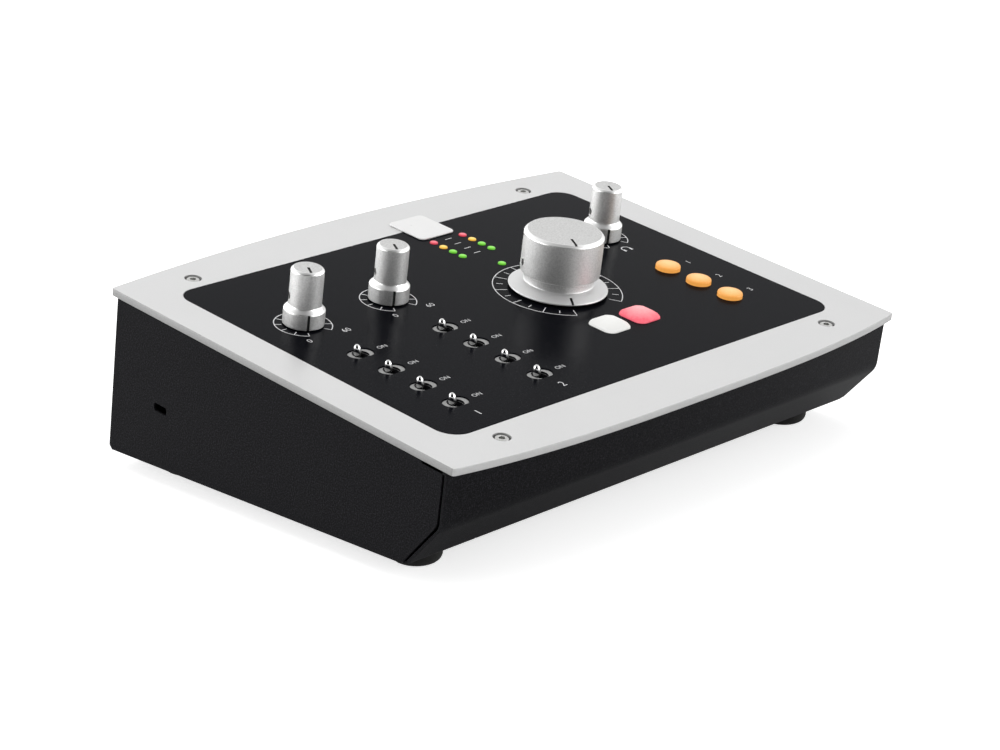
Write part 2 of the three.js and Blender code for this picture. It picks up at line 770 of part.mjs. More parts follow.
// The hollow under a knob that clears the threaded bush and takes the shaft.
function knobHollow(bottom) {
  return turned(
    [
      [0, bottom - cutOverrun],
      [bushRadius + 2 * seatGap, bottom - cutOverrun],
      [bushRadius + 2 * seatGap, bushTop + 2 * seatGap],
      [shaftRadius + seatGap, bushTop + 2 * seatGap],
      [shaftRadius + seatGap, shaftTop + seatGap],
      [0, shaftTop + seatGap],
    ],
    smallSides,
  );
}

function smallKnob() {
  const body = turned([
    [0, skirtBottom],
    [skirtRadius, skirtBottom],
    [skirtRadius, skirtTop],
    [knobRadius, skirtConeTop],
    [knobRadius, knobHeight - knobTopChamfer],
    [knobRadius - knobTopChamfer, knobHeight],
    [0, knobHeight],
  ]);
  const topRadius = knobRadius - knobTopChamfer;
  return cutBy(body, [
    knobHollow(skirtBottom),
    pointerGroove(topRadius - smallPointerLength, topRadius, knobHeight - pointerDepth, knobHeight + cutOverrun),
    pointerGroove(skirtRadius - pointerDepth, skirtRadius + cutOverrun, skirtBottom - cutOverrun, skirtTop),
    radialRod(grubRadius + seatGap, 0, knobRadius + cutOverrun, grubAngle, grubHeight, smallSides / 2),
  ]);
}

function monitorKnob() {
  const body = turned(
    [
      [0, monitorFlangeBottom],
      [monitorFlangeRadius, monitorFlangeBottom],
      [monitorFlangeRadius, monitorFlangeEdge],
      [monitorNeckRadius, monitorFlangeTop],
      [monitorNeckRadius, monitorBarrelBottom],
      [monitorRadius, monitorBarrelBottom],
      [monitorRadius, monitorHeight - monitorTopBevel],
      [monitorRadius - monitorTopBevel, monitorHeight],
      [0, monitorHeight],
    ],
    fineSides,
  );
  const topRadius = monitorRadius - monitorTopBevel;
  const topGroove = [monitorHeight - pointerDepth, monitorHeight + cutOverrun];
  return cutBy(body, [
    knobHollow(monitorFlangeBottom),
    pointerGroove(topRadius - monitorPointerLength, monitorRadius, ...topGroove),
    pointerGroove(
      monitorFlangeRadius - monitorFlangePointer,
      monitorFlangeRadius + cutOverrun,
      monitorFlangeEdge - pointerDepth / 2,
      monitorFlangeTop + cutOverrun,
    ),
    radialRod(grubRadius + seatGap, 0, monitorRadius + cutOverrun, grubAngle, grubHeight, smallSides / 2),
  ]);
}

// A headless screw with a hexagon socket in its outer end. It bears on the flat of the shaft.
function grubScrew(length) {
  const inner = shaftRadius - shaftFlat + seatGap;
  const outer = inner + length;
  const socket = slab(hexagon(grubHexAcross), outer - grubHexDepth, outer + cutOverrun);
  const screw = rod(grubRadius, inner, outer, smallSides / 2).subtract(socket);
  return screw.rotate([0, 90, 0]).rotate([0, 0, THREE.MathUtils.radToDeg(grubAngle)]).translate([0, 0, grubHeight]);
}

// A shaft with a flat for the grub screw.
function controlShaft() {
  const stem = rod(shaftRadius, -shaftFoot, shaftTop, smallSides);
  const flat = slab(rectangle(shaftRadius, 4 * shaftRadius), bushTop + seatGap, shaftTop + cutOverrun);
  const placed = flat.translate([shaftRadius - shaftFlat + shaftRadius / 2, 0, 0]);
  return stem.subtract(placed.rotate([0, 0, THREE.MathUtils.radToDeg(grubAngle)]));
}

function rotaryBody() {
  const bottom = controlBoardTop + seatGap;
  const box = slab(rectangle(potWidth, potDepth), bottom, underPlate);
  const bush = rod(bushRadius, underPlate - board, bushTop, smallSides);
  const bore = rod(shaftRadius + seatGap, -shaftFoot - seatGap, bushTop + cutOverrun, smallSides);
  return box.add(bush).subtract(bore);
}

// A toggle lever about its pivot at the origin: a slim stem with a swollen round tip.
function toggleLever() {
  const tipStart = leverTop - leverPivotW - leverTipRadius;
  const steps = 4;
  const tip = Array.from({ length: steps }, (_, i) => {
    const angle = (i / steps) * (Math.PI / 2);
    return [leverTipRadius * Math.cos(angle), tipStart + leverTipRadius * Math.sin(angle)];
  });
  return turned(
    [
      [0, -leverFoot],
      [leverStemRadius, -leverFoot],
      [leverStemRadius, leverShoulder - leverPivotW],
      ...tip,
      [0, tipStart + leverTipRadius],
    ],
    smallSides,
  );
}

// The dome over a cap: part of a sphere whose crown is at a height.
function domeBlank(radius, crown, reach) {
  const rim = Math.asin(reach / radius);
  const arc = Array.from({ length: domeSteps }, (_, i) => {
    const angle = rim * (1 - i / domeSteps);
    return [radius * Math.sin(angle), crown - radius * (1 - Math.cos(angle))];
  });
  return turned([[0, buttonFoot], [reach, buttonFoot], ...arc, [0, crown]]);
}

// The rim at the foot of a cap, which the plate's underside stops.
function capRim(shape) {
  return slab(shape, underPlate - buttonRimHeight, underPlate, 2);
}

function squareCap() {
  const side = squareButton;
  const blank = slab(roundedRectangle(side, side, squareCorner), buttonFoot, squareDomeTop + cutOverrun, 2);
  const dome = domeBlank(squareDomeRadius, squareDomeTop, side * Math.SQRT1_2);
  const rimSide = side + 2 * buttonRim;
  return blank.intersect(dome).add(capRim(roundedRectangle(rimSide, rimSide, squareCorner)));
}

function roundCap() {
  const rise = roundDomeTop - roundButtonRim;
  const radius = (roundButtonRadius ** 2 + rise ** 2) / (2 * rise);
  const rim = rod(roundButtonRadius + buttonRim, underPlate - buttonRimHeight, underPlate);
  return domeBlank(radius, roundDomeTop, roundButtonRadius).add(rim);
}

// A lens with a domed top, standing on the bar under the plate.
function lens() {
  const steps = 3;
  const dome = Array.from({ length: steps }, (_, i) => {
    const angle = (i / steps) * (Math.PI / 2);
    return [lensRadius * Math.cos(angle), lensStraight + (lensTop - lensStraight) * Math.sin(angle)];
  });
  const foot = underPlate - lensFoot / 2;
  return turned([[0, foot], [lensRadius, foot], ...dome, [0, lensTop]], lensSides);
}

function meterStrip(u) {
  const length = (meterCount - 1) * meterPitch + lensBarWidth;
  const bar = slab(rectangle(lensBarWidth, length), underPlate - lensFoot, underPlate);
  const middle = (meterV[0] + meterV[meterCount - 1]) / 2;
  return joined([bar.translate([u, middle, 0]), ...meterV.map((v) => lens().translate([u, v, 0]))]);
}

function statusLens() {
  const foot = slab(rectangle(lensBarWidth, lensBarWidth), underPlate - lensFoot, underPlate);
  return foot.add(lens()).translate([monitorU, statusV, 0]);
}

// The housing of one toggle switch, with the well that its lever pivots in.
function toggleHousing() {
  const box = slab(rectangle(toggleBodyLength, toggleBodyWidth), controlBoardTop - board / 2, toggleBodyTop);
  const wellBottom = leverPivotW - leverFoot - seatGap;
  const well = slab(
    rectangle(toggleWellLength, 2 * (leverStemRadius + seatGap)),
    wellBottom,
    toggleBodyTop + cutOverrun,
  );
  return box.subtract(well);
}

// The upper board, with the housings of the toggle and push switches soldered on it.
function controlBoard() {
  const depth = controlBoardRearV - controlBoardFrontV;
  const middle = (controlBoardRearV + controlBoardFrontV) / 2;
  const sheetBoard = slab(rectangle(controlBoardWidth, depth), controlBoardTop - board, controlBoardTop);
  const tact = slab(rectangle(tactWidth, tactWidth), controlBoardTop - board / 2, tactTop);
  const tactPlaces = [
    ...squareButtonU.map((u) => [u, squareButtonV]),
    ...roundButtonV.map((v) => [roundButtonU, v]),
  ];
  return joined([
    sheetBoard.translate([0, middle, 0]),
    ...tactPlaces.map(([u, v]) => tact.translate([u, v, 0])),
    ...toggleColumns.flatMap((u) => toggleV.map((v) => toggleHousing().translate([u, v, 0]))),
  ]);
}

function mainBoard() {
  const depth = mainBoardRearV - mainBoardFrontV;
  const middle = (mainBoardRearV + mainBoardFrontV) / 2;
  const shape = rectangle(mainBoardWidth, depth);
  return slab(shape, mainBoardTop - board, mainBoardTop).translate([0, middle, 0]);
}

function boardSpacer() {
  return rod(spacerRadius, boardTopGap, controlBoardTop - board - seatGap, 6);
}

// A microphone and line socket: a flange outside the panel, a round body and a stepped cup.
function comboSocket() {
  const flangeBack = caseRearV + seatGap;
  const face = flangeBack + comboFlangeThickness;
  const flange = slab(roundedRectangle(comboFlangeWidth, comboFlangeHeight, comboCorner), flangeBack, face);
  const body = rod(comboBodyRadius, face - comboBodyDepth, flangeBack + comboFlangeThickness / 2, comboSides);
  const cup = rod(comboCupRadius, face - comboCupDepth, face + cutOverrun, comboSides);
  const plug = rod(plugBore, face - comboCupDepth - comboPlugDepth, face, smallSides);
  const contacts = [0, 1, 2].map((i) => {
    const angle = Math.PI / 2 + (i - 1) * (Math.PI / 2);
    const hole = rod(contactRadius, face - comboCupDepth - contactDepth, face, 8);
    return hole.translate([contactCircle * Math.cos(angle), contactCircle * Math.sin(angle), 0]);
  });
  return cutBy(flange.add(body), [cup, plug, ...contacts]);
}

// A nose with a plug hole, standing out of the panel from a block behind it.
const nose = () => rod(jackNose, insideRearV - 2 * seatGap, caseRearV + jackNoseProud, smallSides);
const plugHole = () =>
  rod(plugBore, caseRearV + jackNoseProud - plugDepth, caseRearV + jackNoseProud + cutOverrun, smallSides);

// A block behind the rear panel that stands on the main board and reaches in from the panel.
function blockBehind(middleU, width, top, depth) {
  const back = insideRearV - seatGap;
  const shape = new THREE.Shape([
    new THREE.Vector2(back - depth, boardTopGap),
    new THREE.Vector2(back, boardTopGap),
    new THREE.Vector2(back, top),
    new THREE.Vector2(back - depth, top),
  ]);
  return alongU(shape, middleU - width / 2, middleU + width / 2);
}

function jackBlock() {
  const places = jackPlaces().slice(0, -1);
  const block = blockBehind(jackBlockU, jackBlockWidth, jackBlockTop, jackBlockDepth);
  const noses = places.map(([u, w]) => facingBack(nose(), u, w));
  const holes = places.map(([u, w]) => facingBack(plugHole(), u, w));
  return cutBy(joined([block, ...noses]), holes);
}

function phonesJack() {
  const block = blockBehind(phonesJackU, phonesJackWidth, phonesJackTop, jackBlockDepth);
  const [u, w] = [phonesJackU, jackLowerW];
  return block.add(facingBack(nose(), u, w)).subtract(facingBack(plugHole(), u, w));
}

function opticalBlock() {
  const places = opticalPlaces();
  const top = jackLowerW + opticalHeight / 2;
  const block = blockBehind(opticalU, opticalPorts * opticalPitch, top, opticalDepth);
  const port = slab(rectangle(opticalWidth, opticalHeight), insideRearV - 2 * seatGap, caseRearV);
  const hole = slab(rectangle(opticalHole, opticalHole), caseRearV - opticalHoleDepth, caseRearV + cutOverrun);
  const ports = places.map((u) => facingBack(port, u, jackLowerW));
  return cutBy(joined([block, ...ports]), places.map((u) => facingBack(hole, u, jackLowerW)));
}

function usbSocket() {
  const foot = blockBehind(usbU, usbWidth, jackLowerW + usbHeight / 2, usbDepth);
  const shell = slab(obround(usbWidth, usbHeight), insideRearV - 2 * seatGap, caseRearV);
  const mouth = slab(
    obround(usbWidth - 2 * usbWall, usbHeight - 2 * usbWall),
    caseRearV - usbDepth + 2 * usbWall,
    caseRearV + cutOverrun,
  );
  const tongue = slab(rectangle(usbWidth / 2 + usbWall, usbTongue), caseRearV - usbDepth, caseRearV - 2 * usbWall);
  const laid = [shell, mouth, tongue].map((solid) => facingBack(solid, usbU, jackLowerW));
  return foot.add(laid[0]).subtract(laid[1]).add(laid[2]);
}

function powerInlet() {
  const block = blockBehind(inletU, 2 * inletRadius, jackLowerW + inletRadius, inletDepth);
  const neck = rod(inletRadius, insideRearV - 2 * seatGap, caseRearV, smallSides);
  const hole = rod(inletBore, caseRearV - inletHole, caseRearV + cutOverrun, smallSides);
  const pin = rod(inletPin, caseRearV - inletHole - seatGap, caseRearV - 2 * seatGap, 8);
  const laid = [neck, hole, pin].map((solid) => facingBack(solid, inletU, jackLowerW));
  return block.add(laid[0]).subtract(laid[1]).add(laid[2]);
}

// The rocker switch's housing: an open box with a bezel outside the panel.
function powerHousing() {
  const bezelWidth = powerWidth + 2 * powerBezel;
  const bezelHeight = powerHeight + 2 * powerBezel;
  const bezel = slab(rectangle(bezelWidth, bezelHeight), caseRearV + seatGap, caseRearV + powerBezelProud);
  const box = slab(rectangle(powerWidth, powerHeight), caseRearV - powerDepth, caseRearV + powerBezelProud / 2);
  const well = slab(
    rectangle(powerWidth - 2 * powerWall, powerHeight - 2 * powerWall),
    caseRearV - powerDepth + powerWall,
    caseRearV + powerBezelProud + cutOverrun,
  );
  return facingBack(bezel.add(box).subtract(well), powerU, socketW);
}

// The rocker about its pivot: a slice of a round bar with a shallow crease in its face.
function powerRocker() {
  const halfHeight = powerHeight / 2 - powerWall - 2 * seatGap;
  const halfWidth = powerWidth / 2 - powerWall - seatGap;
  const crest = powerBezelProud + rockerProud;
  const shape = new THREE.Shape([
    new THREE.Vector2(-rockerBack, -halfHeight / 2),
    new THREE.Vector2(0, -halfHeight),
    new THREE.Vector2(crest, -halfHeight),
    new THREE.Vector2(powerBezelProud, 0),
    new THREE.Vector2(crest, halfHeight),
    new THREE.Vector2(0, halfHeight),
    new THREE.Vector2(-rockerBack, halfHeight / 2),
  ]);
  return alongU(shape, -halfWidth, halfWidth);
}

// The assembly.
const device = new THREE.Group();
device.name = "audio_interface";

const footPlaces = [
  ["foot_front_left", -footU, footFrontY],
  ["foot_front_right", footU, footFrontY],
  ["foot_rear_left", -footU, footRearY],
  ["foot_rear_right", footU, footRearY],
];
for (const [name, x, y] of footPlaces) {
  addPiece(device, name, footPad(), rubberBlack()).position.set(x, y, 0);
}

const deck = new THREE.Group();
deck.position.set(0, deckShiftY, deckHeight);
deck.rotation.x = deckTilt;
device.add(deck);

addPiece(deck, "case_pan", casePan(), powderBlack());
addPiece(deck, "rear_panel", rearPanel(), powderBlack());
addPiece(deck, "deck_plate", deckPlate(), satinSilver());
addPiece(deck, "control_panel", controlPanel(), panelBlack());
addPiece(deck, "badge_tile", badgeTile(), badgeWhite());
for (const { name, u, v } of screwPlaces) {
  addPiece(deck, "plate_screw_" + name, plateScrew(), steel()).position.set(u, v, 0);
}

for (const { name, u } of smallKnobs) {
  addPiece(deck, name + "_knob", smallKnob(), machinedSilver()).position.set(u, knobRowV, 0);
  addPiece(deck, name + "_grub_screw", grubScrew(grubLength), steel()).position.set(u, knobRowV, 0);
  addPiece(deck, name + "_shaft", controlShaft(), steel()).position.set(u, knobRowV, 0);
  addPiece(deck, name + "_control", rotaryBody(), steel()).position.set(u, knobRowV, 0);
}
addPiece(deck, "monitor_knob", monitorKnob(), machinedSilver()).position.set(monitorU, monitorV, 0);
const monitorGrub = addPiece(deck, "monitor_grub_screw", grubScrew(monitorGrubLength), steel());
monitorGrub.position.set(monitorU, monitorV, 0);
addPiece(deck, "monitor_shaft", controlShaft(), steel()).position.set(monitorU, monitorV, 0);
addPiece(deck, "monitor_control", rotaryBody(), steel()).position.set(monitorU, monitorV, 0);

toggleColumns.forEach((u, column) => {
  toggleV.forEach((v, row) => {
    const name = "toggle_lever_" + (column + 1) + "_" + (row + 1);
    const lever = addPiece(deck, name, toggleLever(), chrome());
    lever.position.set(u, v, leverPivotW);
    lever.rotation.y = -leverLean;
  });
});

["dim_button", "cut_button"].forEach((name, i) => {
  const colour = i === 0 ? litWhite() : litRed();
  addPiece(deck, name, squareCap(), colour).position.set(squareButtonU[i], squareButtonV, 0);
});
roundButtonV.forEach((v, i) => {
  addPiece(deck, "function_button_" + (i + 1), roundCap(), litAmber()).position.set(roundButtonU, v, 0);
});

addPiece(deck, "meter_lens_left", meterStrip(meterColumns[0]), lensClear());
addPiece(deck, "meter_lens_right", meterStrip(meterColumns[1]), lensClear());
addPiece(deck, "status_lens", statusLens(), lensClear());

addPiece(deck, "control_board", controlBoard(), boardGreen());
addPiece(deck, "main_board", mainBoard(), boardGreen());
const spacerPlaces = [
  ["front_left", -spacerU, spacerFrontV],
  ["front_right", spacerU, spacerFrontV],
  ["rear_left", -spacerU, spacerRearV],
  ["rear_right", spacerU, spacerRearV],
];
for (const [name, u, v] of spacerPlaces) {
  addPiece(deck, "board_spacer_" + name, boardSpacer(), steel()).position.set(u, v, 0);
}

comboU.forEach((u, i) => {
  addPiece(deck, "input_socket_" + (i + 1), facingBack(comboSocket(), u, socketW), mouldedBlack());
});
addPiece(deck, "line_jack_block", jackBlock(), mouldedBlack());
addPiece(deck, "phones_jack", phonesJack(), mouldedBlack());
addPiece(deck, "optical_socket_block", opticalBlock(), mouldedBlack());
addPiece(deck, "usb_socket", usbSocket(), steel());
addPiece(deck, "power_inlet", powerInlet(), mouldedBlack());
addPiece(deck, "power_switch_housing", powerHousing(), mouldedBlack());
const rocker = addPiece(deck, "power_rocker", powerRocker(), mouldedBlack());
rocker.position.set(powerU, caseRearV, socketW);
rocker.rotation.x = rockerSwing;

export default device;
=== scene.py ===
import math

import bmesh
import bpy
import numpy as np
from mathutils import Matrix, Vector, geometry


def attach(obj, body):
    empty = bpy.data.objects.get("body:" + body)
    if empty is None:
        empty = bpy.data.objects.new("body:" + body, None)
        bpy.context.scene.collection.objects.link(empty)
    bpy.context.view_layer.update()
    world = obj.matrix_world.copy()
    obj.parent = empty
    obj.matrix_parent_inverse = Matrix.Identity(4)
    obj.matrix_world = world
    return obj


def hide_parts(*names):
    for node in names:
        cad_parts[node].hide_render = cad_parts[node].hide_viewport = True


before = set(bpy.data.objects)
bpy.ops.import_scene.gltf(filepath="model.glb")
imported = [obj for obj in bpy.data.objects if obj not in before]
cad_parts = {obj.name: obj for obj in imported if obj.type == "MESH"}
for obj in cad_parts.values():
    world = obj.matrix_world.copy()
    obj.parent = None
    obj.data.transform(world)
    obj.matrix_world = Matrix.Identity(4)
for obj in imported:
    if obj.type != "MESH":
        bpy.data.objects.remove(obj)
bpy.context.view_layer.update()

# The deck's frame.
# Nearly every piece is fixed to, or stands through, one plate that slopes down to the front. Places
# are written on that plate: u to the right, v up the slope, w straight out of it, in millimetres.

SLOPE = math.radians(7.5)
CASE_DROP = 58.05
FOOT_HEIGHT = 7.8
PLATE_THICK = 3.0
PLATE_FRONT = 105.2
PLATE_REAR = 104.6
DECK_Y = ((PLATE_FRONT - PLATE_REAR) * math.cos(SLOPE) - PLATE_THICK * math.sin(SLOPE)) / 2
DECK_Z = FOOT_HEIGHT + CASE_DROP * math.cos(SLOPE)
SEAT = 0.3


def on_deck(points):
    """Turns deck points by the slope about u, lifts them to the deck's middle, and gives metres."""
    u, v, w = np.moveaxis(np.asarray(points, float), -1, 0)
    back = v * math.cos(SLOPE) - w * math.sin(SLOPE) + DECK_Y
    up = v * math.sin(SLOPE) + w * math.cos(SLOPE) + DECK_Z
    return np.stack([u, back, up], -1) / 1000


def on_desk(points):
    """Millimetres in the object's own upright frame, to metres."""
    return np.asarray(points, float) / 1000


# An edge that turns by more than this is sharp, and points this close together, in metres, are one.
SHARP_TURN = math.radians(35)
MERGED_WITHIN = 2e-6


def creased(mesh):
    """Marks the edges that turn sharply, and keeps each face's own shading."""
    smooth = np.empty(len(mesh.polygons), bool)
    mesh.polygons.foreach_get("use_smooth", smooth)
    mesh.set_sharp_from_angle(angle=SHARP_TURN)
    mesh.polygons.foreach_set("use_smooth", smooth)


class Blank:
    """A piece being shaped: sheets of points are gathered here, then become one object."""

    def __init__(self, place=on_deck):
        self.place = place
        self.points = []
        self.faces = []
        self.smooth = []
        self.finish = []

    def start(self):
        return sum(len(p) for p in self.points)

    def take(self, points, faces, smooth, finish):
        self.points.append(np.asarray(points, float).reshape(-1, 3))
        self.faces.extend(faces)
        self.smooth.extend([smooth] * len(faces))
        self.finish.extend(np.broadcast_to(np.ravel(finish), len(faces)))

    def weave(self, rows, around=False, smooth=True, finish=0):
        """Joins each row of points to the next with four-sided faces; around joins a row's own ends."""
        rows = np.asarray(rows, float)
        index = self.start() + np.arange(rows.shape[0] * rows.shape[1]).reshape(rows.shape[:2])
        if around:
            index = np.concatenate([index, index[:, :1]], 1)
        corners = [index[:-1, :-1], index[:-1, 1:], index[1:, 1:], index[1:, :-1]]
        faces = np.stack(corners, -1).reshape(-1, 4).tolist()
        self.take(rows, faces, smooth, finish)

    def fill(self, loops, finish=0):
        """A flat face inside the first loop and outside the others, cut into triangles."""
        start = self.start()
        flat = [[Vector(p) for p in loop] for loop in loops]
        faces = [tuple(start + i for i in t) for t in geometry.tessellate_polygon(flat)]
        self.take(np.concatenate([np.asarray(loop, float) for loop in loops]), faces, False, finish)

    def shaped(self, name, finishes, upward=False):
        """One object of all the sheets, with doubled points merged and its faces turned outwards."""
        mesh = bpy.data.meshes.new(name)
        mesh.from_pydata(self.place(np.concatenate(self.points)), [], self.faces)
        mesh.polygons.foreach_set("use_smooth", self.smooth)
        mesh.polygons.foreach_set("material_index", self.finish)
        work = bmesh.new()
        work.from_mesh(mesh)
        bmesh.ops.remove_doubles(work, verts=work.verts, dist=MERGED_WITHIN)
        if upward:
            down = [f for f in work.faces if f.normal.z < 0]
            bmesh.ops.reverse_faces(work, faces=down)
        else:
            bmesh.ops.recalc_face_normals(work, faces=work.faces)
        work.to_mesh(mesh)
        work.free()
        creased(mesh)
        for finish in finishes:
            mesh.materials.append(finish.material)
        piece = bpy.data.objects.new(name, mesh)
        bpy.context.scene.collection.objects.link(piece)
        return piece

    def made(self, name, body, finishes, slot, stands_for=(), upward=False):
        """Shapes the piece and hands it to its body."""
        piece = self.shaped(name, finishes, upward)
        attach(piece, body)
        if stands_for:
            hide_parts(*stands_for)
        return piece


class Value:
    """A shader socket that Python's own operators work on: each sum or product adds a Math node."""

    def __init__(self, tree, socket):
        self.tree = tree
        self.socket = socket

    def maths(self, operation, *others, **settings):
        return self.tree.node("Math", {"operation": operation, **settings}, [self, *others])

    def __add__(self, other):
        return self.maths("ADD", other)

    def __sub__(self, other):
        return self.maths("SUBTRACT", other)

    def __mul__(self, other):
        return self.maths("MULTIPLY", other)

    def __truediv__(self, other):
        return self.maths("DIVIDE", other)

    def __rsub__(self, other):
        return self.tree.node("Math", {"operation": "SUBTRACT"}, [other, self])

    def limited(self):
        return self.maths("ADD", 0.0, use_clamp=True)

    def below(self, edge, softness):
        """1 where the value is under the edge, 0 over it, with a soft step between."""
        return ((edge - self) / softness + 0.5).limited()


class Tree:
    """A node tree, and the one method that adds a node of any kind to it."""

    def __init__(self, tree):
        self.tree = tree
        self.tree.nodes.clear()

    def fill(self, socket, value):
        if isinstance(value, Value):
            self.tree.links.new(value.socket, socket)
        elif socket.type == "RGBA":
            socket.default_value = (*np.broadcast_to(value, 3), 1.0)
        else:
            socket.default_value = value

    def node(self, kind, settings=None, sockets=(), output=0):
        """Adds a node: its settings first, then the values or links of its sockets, by place or by name."""
        made = self.tree.nodes.new("ShaderNode" + kind)
        for key, value in (settings or {}).items():
            if key == "stops":
                ramp = made.color_ramp
                while len(ramp.elements) < len(value):
                    ramp.elements.new(0.5)
                for stop, (at, colour) in zip(ramp.elements, value):
                    stop.position = at
                    stop.color = (*colour, 1.0)
            else:
                setattr(made, key, value)
        pairs = sockets.items() if isinstance(sockets, dict) else enumerate(sockets)
        for key, value in pairs:
            self.fill(made.inputs[key], value)
        return Value(self, made.outputs[output]) if made.outputs else made

    def split(self, vector):
        """A vector's three parts."""
        parts = self.node("SeparateXYZ", {}, [vector]).socket.node
        return [Value(self, socket) for socket in parts.outputs]

    def rays(self, *kinds):
        """1 for a ray of any of the kinds named, such as Camera."""
        found = [self.node("LightPath", output="Is " + kind + " Ray") for kind in kinds]
        total = found[0]
        for each in found[1:]:
            total = total.maths("MAXIMUM", each)
        return total


class Finish(Tree):
    """A material with one Principled shader."""

    def __init__(self, name, **settings):
        self.material = bpy.data.materials.new(name)
        self.material.use_nodes = True
        super().__init__(self.material.node_tree)
        self.shader = self.node("BsdfPrincipled")
        self.output = self.node("OutputMaterial", {}, {"Surface": self.shader})
        self.set(**settings)

    def set(self, **settings):
        """Sets the shader's sockets: a plain value is stored, a worked-out one is linked."""
        for key, value in settings.items():
            name = key.replace("_", " ").title().replace("Ior", "IOR")
            self.fill(self.shader.socket.node.inputs[name], value)

    def spot(self):
        """Where a point is on the object, in millimetres."""
        place = self.node("TexCoord", output="Object")
        return self.node("Mapping", {"vector_type": "POINT"}, {"Vector": place, "Scale": (1e3,) * 3})

    def on_deck(self, u=0.0, v=0.0):
        """A point's u, v and w, measured from a place on the deck."""
        turned = self.node("Mapping", {"vector_type": "TEXTURE"}, {
            "Vector": self.node("TexCoord", output="Object"),
            "Location": on_deck((u, v, 0)),
            "Rotation": (SLOPE, 0, 0),
            "Scale": (1e-3,) * 3,
        })
        return self.split(turned)

    def noise(self, grain, detail=2.0, roughness=0.5):
        """Noise from 0 to 1 whose grain is given in millimetres."""
        sockets = {"Vector": self.spot(), "Scale": 1 / grain, "Detail": detail, "Roughness": roughness}
        return self.node("TexNoise", {}, sockets)

    def blend(self, share, first, second):
        """The first colour, going over to the second as the share goes to 1, by the Mix node's colours."""
        return self.node("Mix", {"data_type": "RGBA"}, {0: share, 6: first, 7: second}, 2)

    def bump(self, height, millimetres):
        self.set(normal=self.node("Bump", {}, {"Height": height, "Distance": millimetres / 1000}))

    def grained(self, noise, dark, light, rough=None, bump=0.0):
        """One noise goes from dark to light, adds a span to the least roughness, and raises the skin."""
        self.set(base_color=self.blend(noise, dark, light))
        if rough:
            least, span = rough
            self.set(roughness=noise * span + least)
        if bump:
            self.bump(noise, bump)


def arc(centre, radius, start, end, steps):
    """Points on a circle about a centre, from one angle to another, in degrees."""
    turn = np.radians(np.linspace(start, end, steps + 1))
    return np.stack([centre[0] + radius * np.cos(turn), centre[1] + radius * np.sin(turn)], -1)


def ring(radius, steps, centre=(0, 0), start=0):
    """A closed circle without its repeated last point."""
    return arc(centre, radius, start, start + 360, steps)[:-1]


def rounded(width, depth, corner, steps, centre=(0, 0)):
    """A rectangle whose corners are quarter circles, as a closed loop that runs anticlockwise."""
    x, y = width / 2 - corner, depth / 2 - corner
    places = [(x, y, 0), (-x, y, 90), (-x, -y, 180), (x, -y, 270)]
    corners = [arc((a + centre[0], b + centre[1]), corner, s, s + 90, steps) for a, b, s in places]
    return np.concatenate(corners)


def outward(loop):
    """Each point's sideways direction on an anticlockwise loop: the mean of its edges' outward normals."""
    edges = np.roll(loop, -1, 0) - loop
    normal = np.stack([edges[:, 1], -edges[:, 0]], -1)
    normal /= np.linalg.norm(normal, axis=1, keepdims=True) + 1e-12
    mean = normal + np.roll(normal, 1, 0)
    length = np.linalg.norm(mean, axis=1, keepdims=True)
    return 2 * mean / (length ** 2 + 1e-12)


# A corner's arc takes up less than half of each leg, and a point on each leg holds it just outside.
LEG_PARTS = 2.2
HELD_AT = 1.18


def eased(corners, radius, steps):
    """A profile whose corners are rounded: each one becomes an arc, with a point on both sides of it."""
    corners = np.asarray(corners, float)
    radii = np.broadcast_to(radius, len(corners))
    points = [corners[0]]
    for i in range(1, len(corners) - 1):
        before, here, after = corners[i - 1], corners[i], corners[i + 1]
        back = before - here
        on = after - here
        reach = min(radii[i], np.linalg.norm(back) / LEG_PARTS, np.linalg.norm(on) / LEG_PARTS)
        start = here + back / np.linalg.norm(back) * reach
        end = here + on / np.linalg.norm(on) * reach
        share = np.linspace(0, 1, steps + 1)[:, None]
        curve = (1 - share) ** 2 * start + 2 * share * (1 - share) * here + share ** 2 * end
        points.extend([here + (start - here) * HELD_AT, *curve, here + (end - here) * HELD_AT])
    points.append(corners[-1])
    return np.asarray(points)


def spun(profile, columns, centre=(0, 0, 0)):
    """A profile of radius and height turned about w: each profile point becomes a circle of points."""
    turn = np.linspace(0, 2 * math.pi, columns, endpoint=False)
    radius, height = np.asarray(profile, float).T
    x = radius[:, None] * np.cos(turn) + centre[0]
    y = radius[:, None] * np.sin(turn) + centre[1]
    z = np.broadcast_to(height[:, None] + centre[2], x.shape)
    return np.stack([x, y, z], -1)


# The camera and the light.
# The object stands on a plain white floor, under one broad soft lamp above and two smaller ones at its
# sides. The camera is far off to the left of the front, with a long lens, and looks down on the deck.

CAMERA_AT = (-808.718, -704.365, 443.494)
CAMERA_AHEAD = (0.68802, 0.60102, -0.40670)
CAMERA_RIGHT = (0.68952, -0.71614, 0.10818)
FOCAL = 2824.064
FRAME_PIXELS = 1000
SENSOR = 36


def turned_up(direction):
    """A direction in the deck's frame, in the object's upright frame."""
    middle = on_deck((0, 0, 0))
    return Vector(on_deck(direction) - middle).normalized()


lens = bpy.data.cameras.new("camera")
lens.sensor_width = SENSOR
lens.lens = FOCAL / FRAME_PIXELS * SENSOR
lens.clip_end = 20
camera = bpy.data.objects.new("camera", lens)
ahead = turned_up(CAMERA_AHEAD)
right = turned_up(CAMERA_RIGHT)
right = (right - ahead * right.dot(ahead)).normalized()
above = right.cross(ahead)
turning = Matrix((right, above, -ahead)).transposed().to_4x4()
camera.matrix_world = Matrix.Translation(Vector(on_deck(CAMERA_AT))) @ turning
bpy.context.scene.collection.objects.link(camera)
bpy.context.scene.camera = camera
bpy.context.scene.view_settings.view_transform = "Standard"


